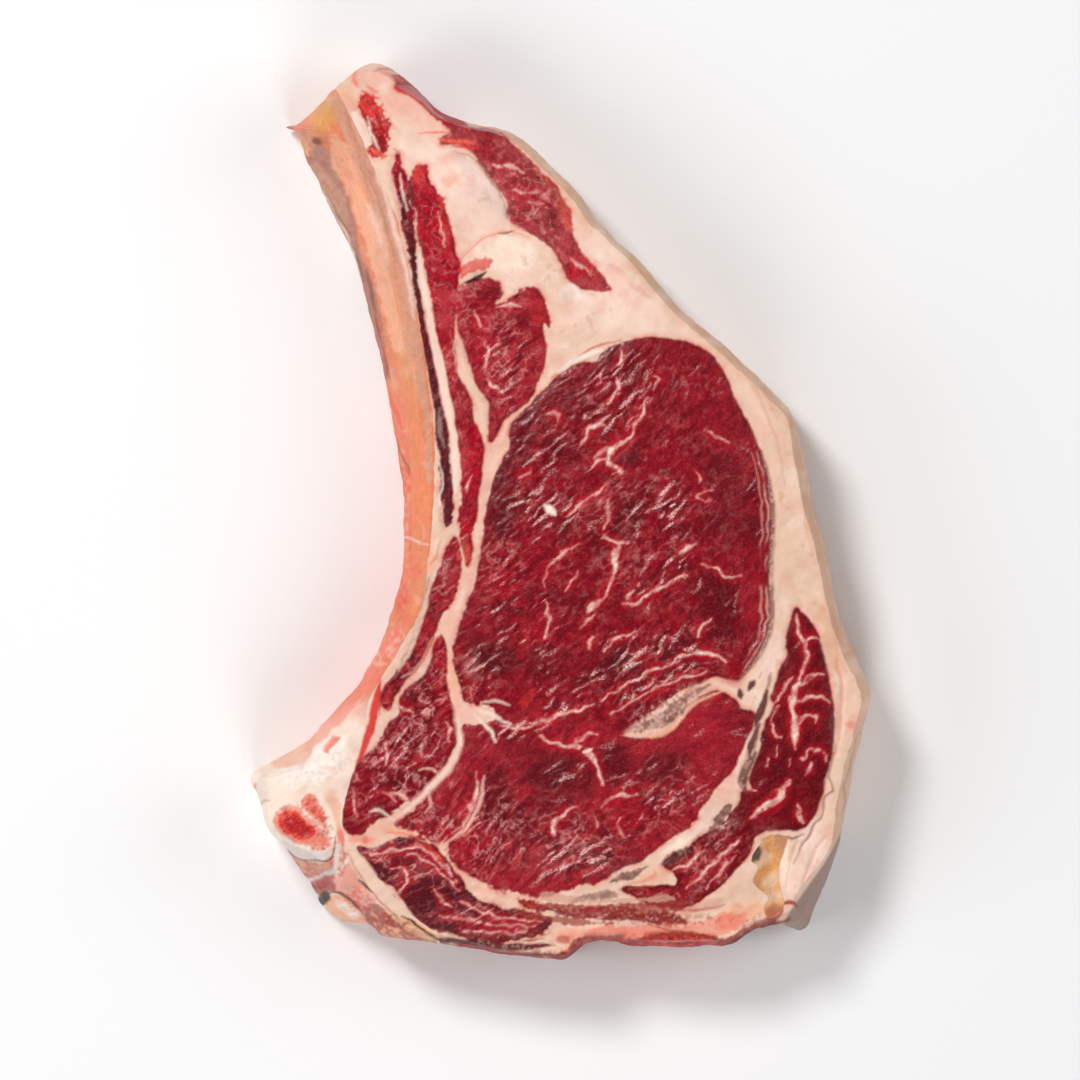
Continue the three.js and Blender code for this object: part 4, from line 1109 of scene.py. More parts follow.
FAT_AREAS = [
    (PALE, 0.9, 0.5, [
        (-42.5, 78), (-41, 70), (-38.8, 60), (-36.6, 50), (-34.6, 40), (-32.8, 30), (-31, 20), (-30.4, 8),
        (-31.8, 5), (-32.6, 12), (-33.2, 22), (-35.2, 32), (-37.4, 43), (-39.4, 53), (-40.8, 62),
        (-43.4, 72),
    ]),
    (LILAC, 0.3, 0.9, [
        (-31, 106.6), (-26, 104.4), (-21.5, 99), (-17.6, 93.4), (-16, 87), (-18, 87), (-20.4, 92),
        (-24, 98), (-28, 102.6), (-31, 104.4),
    ]),
    (BEAD, 0.8, 0.9, [
        (44.4, -96), (46.4, -92.2), (49.4, -88.6), (51.4, -88), (50.2, -91.4), (47.4, -94.4),
        (45.4, -96.4),
    ]),
    (BEAD, 0.75, 0.9, [
        (29.6, -106), (33, -103), (38.4, -100.6), (39.4, -101.8), (35.4, -104.4), (31.4, -106.6),
    ]),
    (BEAD, 0.75, 1.0, [
        (14, -111.4), (18, -108.6), (23, -106.6), (26.4, -106.2), (24.6, -108.4), (20, -110.4),
        (16, -111.6),
    ]),
    (BEAD, 0.6, 1.0, [
        (4, -117.2), (9, -115), (14, -113.8), (17.4, -114.8), (17, -116), (12, -116.4), (7, -117.4),
    ]),
    (SALMON, 0.6, 1.8, [
        (8, -125.4), (24, -124.6), (38, -124), (48, -120.6), (56, -121), (54, -126), (44, -127.4),
        (28, -128.4), (10, -128.6),
    ]),
    (BRICK, 0.85, 0.9, [
        (-10, -117.6), (4, -118.2), (18, -117.6), (32, -117), (38, -117.2), (36, -119.6), (24, -121),
        (10, -120.6), (-4, -119.8), (-11, -118.6),
    ]),
    (DUSTY, 0.7, 0.7, [
        (-6, -114.6), (8, -116.2), (22, -116), (34, -115.4), (34, -116.6), (22, -117.4), (8, -117.6),
        (-6, -116.4),
    ]),
    (BRICK, 0.75, 0.9, [
        (-12, -120.6), (-2, -121.6), (10, -123), (16, -123.6), (8, -124.4), (-4, -123.2), (-12, -122),
    ]),
    (BRICK, 0.9, 0.9, [
        (21, -129.6), (25, -127.4), (33, -126.4), (41, -126.8), (48, -128.2), (52, -131), (44, -133.5),
        (30, -133.5), (22, -132),
    ]),
    (RED, 0.5, 1.4, [
        (25, -129.4), (31, -127.8), (39, -127.8), (46, -129.2), (48, -131), (34, -131.6), (26, -131),
    ]),
    (BRICK, 0.9, 0.8, [
        (49, -129), (56, -124.8), (62, -121), (65, -119), (66.4, -119.4), (66, -121), (63, -125),
        (57, -130), (51, -134),
    ]),
    (BRICK, 0.8, 1.2, [
        (1, -131), (5, -128.6), (11, -127.4), (18, -128), (23, -130), (21, -132), (13, -131.4), (8, -134),
        (2, -138), (-4, -136),
    ]),
    (PALE, 0.9, 0.9, [
        (-62.4, 119.6), (-59.4, 117.6), (-57.4, 113.4), (-56.6, 109.8), (-59, 108.6), (-61.8, 113),
    ]),
    (RED, 0.75, 1.1, [
        (-30, 69.6), (-28, 71.4), (-25.4, 73), (-22, 73.4), (-21, 75), (-24.4, 76), (-28, 75), (-31, 72),
    ]),
    (CRIMSON, 0.9, 1.1, [
        (-51, 131.4), (-47, 133), (-42, 130.4), (-37, 126), (-33, 121.4), (-28, 117.6), (-28, 115.4),
        (-33, 115.4), (-38, 118.4), (-41.6, 121.6), (-45, 126), (-49, 128),
    ]),
    (ROSY, 0.6, 1.6, [
        (-49, 130), (-43, 127.2), (-39, 124), (-33, 117.4), (-36, 117.6), (-41.6, 122.6), (-45, 126.4),
    ]),
]
FAT_STREAKS = [
    (BLUSH, 0.9, 2.2, 0.6, [
        (-32.6, -53), (-31.4, -62), (-30.4, -70), (-33, -76), (-39, -82.7), (-46.8, -90.3),
        (-56.6, -96.8),
    ]),
    (PALE, 0.8, 1.3, 0.5, [(-31, -62), (-30.6, -70), (-34, -77.4), (-40, -83.6), (-47, -90.6)]),
    (BLUSH, 0.8, 0.9, 0.35, [(-36, -79.6), (-40, -77.4), (-43, -77.8)]),
    (BLUSH, 0.8, 0.9, 0.35, [(-40, -84), (-39, -88), (-41, -90.4)]),
    (BLUSH, 0.8, 1.0, 0.35, [(-45, -88.6), (-48, -85), (-51, -84.6)]),
    (PALE, 0.8, 1.0, 0.35, [(-50, -93), (-55, -89.6), (-57.6, -90)]),
    (BLUSH, 0.85, 1.2, 0.4, [(-23, -79.4), (-24, -86), (-28.3, -94.7), (-34.8, -100.1)]),
    (PALE, 0.9, 1.3, 0.4, [(-25, -59.6), (-20, -61.4), (-15, -64)]),
    (PALE, 0.9, 1.2, 0.4, [(-26, -61), (-22, -65), (-19.4, -69)]),
    (PALE, 0.8, 0.9, 0.4, [(-24, -57.6), (-19, -57), (-15.6, -58.4)]),
    (PALE, 0.8, 0.8, 0.3, [(-48, 101), (-47.4, 95), (-46, 90)]),
    (BLUSH, 0.8, 0.7, 0.3, [(-50.4, 99), (-49, 93), (-47.6, 88)]),
    (PALE, 0.85, 0.9, 0.35, [(-58, 118), (-56.4, 112), (-54.6, 108)]),
    (RUST, 0.7, 0.8, 0.3, [(-3, 39.7), (1, 43), (5, 46), (9, 48.5), (13, 50), (18, 51.6)]),
    (WHITE, 0.7, 1.6, 0.4, [(-1, 41.5), (4, 45.2), (9, 47), (12, 48.2)]),
    # Painted shade: grey line along the fold in the gully
    (SMOKE, 0.7, 0.6, 0.25, [
        (-31, 107.6), (-28, 106.6), (-24, 103.5), (-21, 99), (-18, 95), (-16.5, 91), (-16, 88),
    ]),
    (SALMON, 0.7, 0.7, 0.25, [(-30, 75), (-27, 78.5), (-23, 82), (-18, 83.7), (-13, 83.4), (-9, 82)]),
    # Painted shade: dark line in the crease
    (UMBER, 0.8, 0.5, 0.2, [(-19, 83.4), (-17, 83.2), (-14, 84)]),
    # Painted shade: dark line on the right side of a small lobe
    (UMBER, 0.7, 0.4, 0.2, [(-19.2, 69), (-18.3, 66.5), (-18.4, 64)]),
    # Painted shade: near black in the slit in the fat
    (BLACK_RED, 0.95, 1.3, 0.25, [(-28.4, 68.4), (-25.4, 69.8), (-22.4, 71.8)]),
    (CORAL, 0.8, 0.6, 0.25, [(-43, 113.3), (-38, 113.5), (-33, 113.7)]),
    (CORAL, 0.9, 1.4, 0.3, [(-37, 111.6), (-33, 111.2), (-28, 110.6), (-26, 110.4)]),
    (RED, 0.8, 0.9, 0.25, [(-33, 109.6), (-29, 109.2), (-25, 109)]),
    (RED, 0.8, 1.4, 0.3, [(-50, 127.4), (-46, 125.6), (-42, 122.6), (-38, 118.6)]),
    (SMOKE, 0.6, 0.6, 0.2, [(-37, 123), (-34, 120.5), (-32, 119)]),
    (SALMON, 0.5, 1.6, 0.5, [(-55, 133), (-51, 131), (-48, 129.5)]),
    (RUST, 0.7, 0.7, 0.25, [(-56, 132), (-52.4, 133.6), (-49, 133)]),
    (CORAL, 0.7, 0.8, 0.3, [(-62.6, 133), (-62, 129), (-61, 127.4)]),
    (RED, 0.9, 1.3, 0.3, [(-60.6, 122.6), (-57.6, 118.6), (-54.6, 120.6), (-53.4, 122)]),
    (RED, 0.9, 0.8, 0.25, [(-60, 126), (-57, 124.4), (-54.6, 124)]),
    (CORAL, 0.9, 1.4, 0.35, [(-57, 108.8), (-54.5, 107), (-52.5, 106.5)]),
    (RUST, 0.8, 0.8, 0.3, [(-50, 108.4), (-48.5, 107.4)]),
    (DUSTY, 0.5, 0.9, 0.4, [(52, 47), (60, 33), (65, 20), (67, 8)]),
    (DUSTY, 0.45, 0.6, 0.3, [(70, 24), (72, 10), (73.5, -4), (76, -16)]),
    (PINK, 0.7, 0.9, 0.3, [(82, -32), (83.2, -45), (84.3, -55), (83.6, -66), (82.4, -73)]),
    # Painted shade: grey line along the crease at the edge of the outer fat
    (SMOKE, 0.75, 0.7, 0.22, [
        (82.6, -70), (81, -77), (80.4, -79.5), (81.7, -83), (79, -86.5), (78.4, -91), (75.5, -95),
        (72, -101), (70, -106),
    ]),
    # Painted shade: grey line along the second crease
    (SMOKE, 0.6, 0.6, 0.2, [(89, -68), (87.4, -75), (86, -79.5), (85.2, -83), (85.6, -88), (84.4, -92)]),
    (PINK, 0.5, 0.7, 0.35, [(88, -66), (86, -70)]),
    (BLUSH, 0.6, 0.6, 0.3, [(79.5, -98), (76, -103), (73.5, -110), (71, -116)]),
    (TAN, 0.6, 0.6, 0.3, [(71, -98.5), (70, -102), (68, -108), (67.5, -113)]),
    # Painted shade: dark line under the lip above the strap's recess
    (UMBER, 0.75, 0.7, 0.25, [(60.5, -98.6), (64, -97.7), (69, -98.3), (73, -97)]),
    (BRICK, 0.9, 1.1, 0.25, [(65, -118.6), (67, -117.4), (69.5, -117.8), (71, -119)]),
    (SMOKE, 0.8, 1.1, 0.4, [(62.8, -48.5), (62.2, -51.5), (61.8, -54.5)]),
    (BEAD, 0.95, 2.4, 0.35, [(61.8, -54), (60.5, -58.5), (59, -62), (58.2, -64.6)]),
    (BEAD, 0.9, 2.2, 0.35, [(59.6, -64), (58.2, -67), (57, -70), (56.4, -73.4)]),
    (BEAD, 0.85, 3.2, 0.4, [(58.4, -72.6), (56, -76.6), (54.4, -80.4), (55.2, -84)]),
    (UMBER, 0.7, 1.2, 0.35, [(55.6, -80.4), (55, -82.2), (55.4, -83.6)]),
    (PALE, 0.7, 0.6, 0.3, [(57.4, -66.2), (55.2, -71), (53.2, -76), (52.2, -81)]),
    (BEAD, 0.95, 1.9, 0.3, [(53.7, -53.4), (53.9, -55.2), (54.2, -56.2)]),
    (BEAD, 0.95, 2.2, 0.35, [(56.2, -53.6), (57.3, -52), (58.2, -50.8)]),
    (SMOKE, 0.8, 0.8, 0.3, [(59.3, -50), (60.2, -48.6)]),
    (SALMON, 0.6, 1.0, 0.4, [(21, -111.5), (25, -110.8), (28, -109.3), (27.5, -107.8)]),
    (RUST, 0.7, 0.6, 0.3, [(20, -113.5), (24, -112.8), (28, -112.4)]),
    (RUST, 0.7, 0.9, 0.35, [(36, -120), (40, -119.5), (45, -119.2), (49, -118)]),
    (RED, 0.7, 0.6, 0.25, [(-11, -116.5), (-9, -118.6), (-6, -118)]),
    (BRICK, 0.8, 0.7, 0.3, [(26, -124), (33, -125.8), (40, -126.6), (46, -128.2)]),
    (DEEP, 0.95, 2.6, 0.3, [
        (-34, -128.6), (-28, -129.4), (-22, -130), (-17, -130.8), (-12, -130.8), (-4, -130.4),
    ]),
    (DEEP, 0.85, 0.8, 0.25, [(-13, -133.1), (-7, -133.2), (-2, -133.3), (1.5, -132.4)]),
    (UMBER, 0.8, 0.5, 0.2, [(-26, -126.6), (-18, -127.4), (-12, -127)]),
    (UMBER, 0.75, 0.5, 0.2, [(-13, -128.9), (-9, -128.6), (-5, -128.2)]),
    (UMBER, 0.7, 0.4, 0.2, [(-6, -127.5), (-3, -126.5)]),
    (UMBER, 0.8, 0.5, 0.2, [(-10, -130.4), (-5, -130), (-2, -130.6)]),
    (DEEP, 0.8, 2.0, 0.4, [(50, -130.4), (56, -128), (62, -125.4), (68.6, -122.6)]),
    (PINK, 0.7, 0.8, 0.3, [(-48, -50), (-44, -48), (-41, -43), (-38.5, -38)]),
    (CORAL, 0.6, 0.8, 0.4, [(-52, -96.5), (-47, -96.8), (-42, -98.6), (-39, -101)]),
    (RED, 0.7, 1.0, 0.35, [(-44, -100), (-40, -101.3), (-37, -103.6), (-35, -106)]),
    (RUST, 0.6, 0.9, 0.35, [(-33.5, -26.5), (-32, -25.4), (-31.6, -26.2)]),
    (PINK, 0.7, 1.6, 0.4, [(47, -50.4), (50.5, -51.6), (53.5, -52), (55.5, -50)]),
    (PINK, 0.6, 0.7, 0.3, [(-35, 3), (-36, -2), (-34.4, -6)]),
    (WHITE, 0.6, 0.7, 0.3, [(-36.6, 14), (-35.4, 9), (-36.4, 4), (-35.4, -1)]),
    (RUST, 0.5, 0.8, 0.4, [(-36, -9), (-37, -13), (-39.5, -16)]),
    (GREY, 0.7, 1.4, 0.4, [(-36.6, 31), (-36.2, 25), (-35, 19)]),
    (PEACH, 0.9, 1.3, 0.35, [
        (22.5, -67.4), (27, -67.6), (31, -66.6), (34.4, -64), (37.6, -60), (41.6, -56.6), (49, -54),
    ]),
]
FAT_SPECKLED = [
    (BLACK_RED, PINK, 0.25, 47.5, -92.4, 2.6, 4.6, -38),
    (BLACK_RED, PINK, 0.25, 34.4, -103.6, 5.4, 1.8, 28),
    (BLACK_RED, PINK, 0.25, 20.4, -108.8, 6.6, 1.9, 22), (BLACK_RED, PINK, 0.22, 11, -115.6, 7, 1.4, 8),
    (DEEP, CORAL, 0.45, 36, -129.6, 13, 2.6, 0), (DEEP, SALMON, 0.4, 5, -131.4, 6, 3, 30),
    (CRIMSON, TAN, 0.3, 59, -123.6, 9, 2.6, 32), (BRICK, SALMON, 0.35, 18, -128.4, 8, 1.8, -4),
    (DEEP, PINK, 0.22, 14, -119.4, 24, 1.6, 0), (BRICK, CREAM, 0.22, -14, -130, 14, 3, -6),
    (BRICK, BLUSH, 0.35, 34, -122.6, 18, 2.4, 0), (BLACK_RED, BLUSH, 0.3, 56.6, -73, 1.4, 5, -18),
    (BLACK_RED, BLUSH, 0.3, 55, -81, 1.6, 3, -10),
]
LENS = [
    (20.5, -66.4), (25, -63), (29.6, -59.8), (33.4, -57), (37.4, -55), (42, -52.6), (46, -50.8),
    (44, -53.2), (39, -57), (36, -61), (32.6, -64.6), (27.6, -66.4),
]
# Dark and pale speckles on the lens of gristle; the pale ones are partly painted glints
LENS_SPECKLED = [(UMBER, PALE, 0.4, 31, -60, 12, 4, 35)]
SILVERSKIN = [
    (60.2, 17.5), (61.8, 12), (62.9, 6), (63.6, 0), (63.8, -6), (63.2, -14), (63, -22), (63.2, -30),
    (62.8, -36), (60.9, -40.5), (58, -45.4), (54.2, -50),
]
# The side of the fat at the lower right, painted grey as its shade
SHADED_WEDGE = [
    (84.5, -96.5), (80.3, -104), (76.3, -110), (71.3, -117), (68.2, -121), (67.2, -123.5), (67, -129),
    (90, -129), (92, -96),
]
# The rim is browner behind the first line, and the front edge is red before the second one and
# left of the third, where it fades over a few millimetres.
BROWN_RIM_FRONT = -110
RED_EDGE_BACK = -117
RED_EDGE_RIGHT = (67, 63)


def paint_rim(canvas, rim):
    """The side at the lower right, painted grey as its shade, and the red edge at the front."""
    part = window(SHADED_WEDGE, 1.0)
    wedge = smoothstep(-0.3, 0.3, depth_in(np.array(SHADED_WEDGE, float), AREA_REACH))
    lay(canvas, GREY, 0.95 * wedge[part], part)
    low_edge = smoothstep(4.2, 1.8, rim + 0.8 * MOTTLE) * (Y < RED_EDGE_BACK)
    low_edge = low_edge * smoothstep(*RED_EDGE_RIGHT, X)
    lay(canvas, RIM_RED, 0.95 * low_edge * smoothstep(-1.1, -0.3, MOTTLE + 0.6 * RAGS))


def paint_fat():
    """The fat as if it covered the whole lattice."""
    canvas = plain_canvas(CREAM)
    rim = depth_in(STEAK, OUTLINE_REACH)
    lay(canvas, TAN, 0.5 * smoothstep(6.5, 2.5, rim) * (Y > BROWN_RIM_FRONT))
    paint_blots(canvas, FAT_BLOTS)
    lay(canvas, MILK, 0.35 * smoothstep(0.1, 0.9, MOTTLE))
    lay(canvas, PINK, 0.28 * smoothstep(0.2, 1.1, 0.5 * RAGS - MOTTLE))
    lay(canvas, PEACH, 0.25 * smoothstep(0.3, 1.1, CLOUD))
    lay(canvas, DUSTY, 0.35 * smoothstep(0.75, 1.1, RAGS + 0.3 * MOTTLE))
    lay(canvas, PINK, 0.55 * smoothstep(-2.2, -0.4, BORDER) * smoothstep(-0.7, 0.6, MOTTLE))
    lay(canvas, SALMON, 0.6 * smoothstep(-0.9, -0.1, BORDER) * smoothstep(-0.3, 0.7, MOTTLE + SPECK))
    paint_rim(canvas, rim)
    return canvas


def paint_lens(canvas):
    """The lens of gristle between the eye and the muscle under it."""
    outline = smooth_line(LENS, 1.0, True)
    part = window(outline, AREA_REACH)
    depth = depth_in(outline, 4.0)[part] + 0.6 * RAGS[part]
    lay(canvas, BLUSH, 0.6 * smoothstep(-1.6, -0.4, depth), part)
    lay(canvas, MAUVE, 0.85 * smoothstep(-0.2, 0.7, depth), part)
    core = smoothstep(0.2, 1.0, depth)
    lay(canvas, PALE, 0.7 * (core * smoothstep(0.05, 0.6, WEAVE[part])), part)
    lay(canvas, UMBER, 0.6 * (core * smoothstep(0.05, 0.6, -WEAVE[part])), part)
    paint_speckles(canvas, LENS_SPECKLED)


def paint_silverskin(canvas):
    """The grey skin along the right side of the eye, with thin lines inside it."""
    part, cover = stroke(tapered(SILVERSKIN, 1.5), 0.35, warp=0.5)
    lay(canvas, SMOKE, 0.9 * cover * smoothstep(-1.3, -0.2, MOTTLE[part]), part)
    lay(canvas, BLUSH, 0.5 * cover * smoothstep(0.3, 0.8, SPECK[part]), part)
    for tone, shift in ((BLUSH, 1.5), (CRIMSON, 2.4), (PINK, 3.2)):
        inner = [(x - shift, y) for x, y in SILVERSKIN]
        part, cover = stroke(tapered(inner, 0.7), 0.3)
        lay(canvas, tone, 0.6 * cover * smoothstep(-0.6, 0.2, MOTTLE[part]), part)


# Streaks that cross from the soft parts to the hard ones
SHARED_STREAKS = [
    (RED, 0.95, 2.6, 0.35, [(-54.4, -51), (-55.4, -57), (-56.8, -64.6), (-58.4, -69.4), (-61, -75)]),
    (BRICK, 0.8, 0.6, 0.2, [(-54.4, -52), (-54.2, -56), (-54.4, -61)]),
    (DEEP, 0.95, 0.9, 0.22, [(-60.6, -110.6), (-58.8, -112.2), (-56.8, -114.2)]),
    (BLACK_RED, 0.95, 0.9, 0.22, [
        (-48, -121.2), (-44.5, -123.2), (-40.6, -126), (-37, -128.5), (-33, -129.6), (-29.6, -130.6),
    ]),
    (BRICK, 0.9, 2.0, 0.4, [(-36, -131), (-28, -131.8), (-20, -133), (-10, -133.6)]),
    (MAUVE, 0.7, 1.0, 0.4, [(-50, -50), (-46.4, -44), (-43.6, -37), (-41.4, -28), (-39.6, -20)]),
    (CREAM, 0.8, 1.6, 0.4, [(-48.6, -47.6), (-44.6, -40), (-41.6, -31), (-39, -22)]),
]


def paint_soft():
    """Meat and fat together, with a slightly ragged border between them."""
    canvas = paint_fat()
    share = smoothstep(-0.4, 0.4, BORDER)
    canvas += (paint_meat() - canvas) * share[..., None]
    # A thin darker line along the border: partly the seam's own colour and partly painted shade in its
    # groove
    border_line = bell(BORDER - 0.55, 0.5) * smoothstep(-0.4, 0.6, MOTTLE)
    lay(canvas, DEEP, 0.3 * border_line)
    paint_areas(canvas, FAT_AREAS)
    paint_streaks(canvas, FAT_STREAKS)
    paint_speckles(canvas, FAT_SPECKLED)
    paint_streaks(canvas, SHARED_STREAKS)
    paint_lens(canvas)
    paint_silverskin(canvas)
    return canvas


# Bone, cartilage, marrow and ligament

HARD_BLOTS = [
    (OCHRE, 0.95, -72, 119, 8, 5, 40), (TAN, 0.6, -79, 112, 4, 5, 40), (MAUVE, 0.8, -72, 104, 5, 7, 0),
    (RUST, 0.35, -63, 103, 5, 10, 20), (APRICOT, 0.5, -59, 92, 3, 12, 20),
    (PEACH, 0.7, -54.6, 78, 3.4, 16, 12), (SAND, 0.4, -55, 84, 3, 14, 12),
    (OCHRE, 0.5, -47.5, 50, 3, 16, 8), (SALMON, 0.6, -79, 116, 5, 3, 30),
    (RUST, 0.8, -83.4, 117, 2.2, 2.4, 0), (UMBER, 0.85, -73.8, 112, 2, 1, -20),
    (GREY, 0.7, -73.5, 109, 2.4, 1.8, 0), (BRICK, 0.6, -71.5, 100.4, 2.2, 0.7, 0),
    (SMOKE, 0.7, -76.6, 102, 1.4, 4, 20), (SALMON, 0.5, -49, 24, 2.6, 10, 4),
    (ORANGE, 0.4, -43, 10, 3.4, 24, 0), (ORANGE, 0.6, -41, 4, 1.8, 6, 0),
    (SALMON, 0.6, -47, -8, 1.8, 16, 0), (CORAL, 0.9, -48.6, -27, 2.6, 4.4, 0),
    (CORAL, 0.7, -47.6, 10, 1.6, 7, 0), (MAUVE, 0.5, -53, 72, 3, 14, 14),
    (SALMON, 0.8, -50, -40, 3, 6, -25), (SALMON, 0.8, -58, -50, 5, 5, -40),
    (APRICOT, 0.7, -43, -28, 2, 12, -10), (SAND, 0.85, -50, -50, 2, 9, -35),
    (DUSTY, 0.6, -40, -22, 1.4, 8, -8), (PALE, 0.8, -62, -62, 8, 5, 38),
    (WHITE, 0.9, -75, -76.4, 13, 6, 20), (WHITE, 0.7, -66, -72, 2, 6, -25),
    (MILK, 0.8, -62, -68, 4, 6, 30), (LILAC, 0.6, -90, -83, 2.6, 4, 0), (PALE, 0.7, -66, -86, 4, 8, 0),
    (CORAL, 0.9, -92.3, -83, 0.5, 1.0, -20), (PEACH, 0.7, -69, -90, 3, 6, 0),
    (MILK, 0.9, -89, -92, 3, 5, 0), (CORAL, 0.8, -66.3, -98, 1.6, 3.0, 0),
    (DUSTY, 0.7, -66, -104, 2, 4, 0), (PINK, 0.9, -62, -113, 7, 6, 40),
    (CORAL, 0.55, -60.6, -119.6, 3, 2.2, -40), (BRICK, 0.6, -72, -113, 3, 2, 20),
    (RUST, 0.6, -60, -124, 2, 1, 0),
]
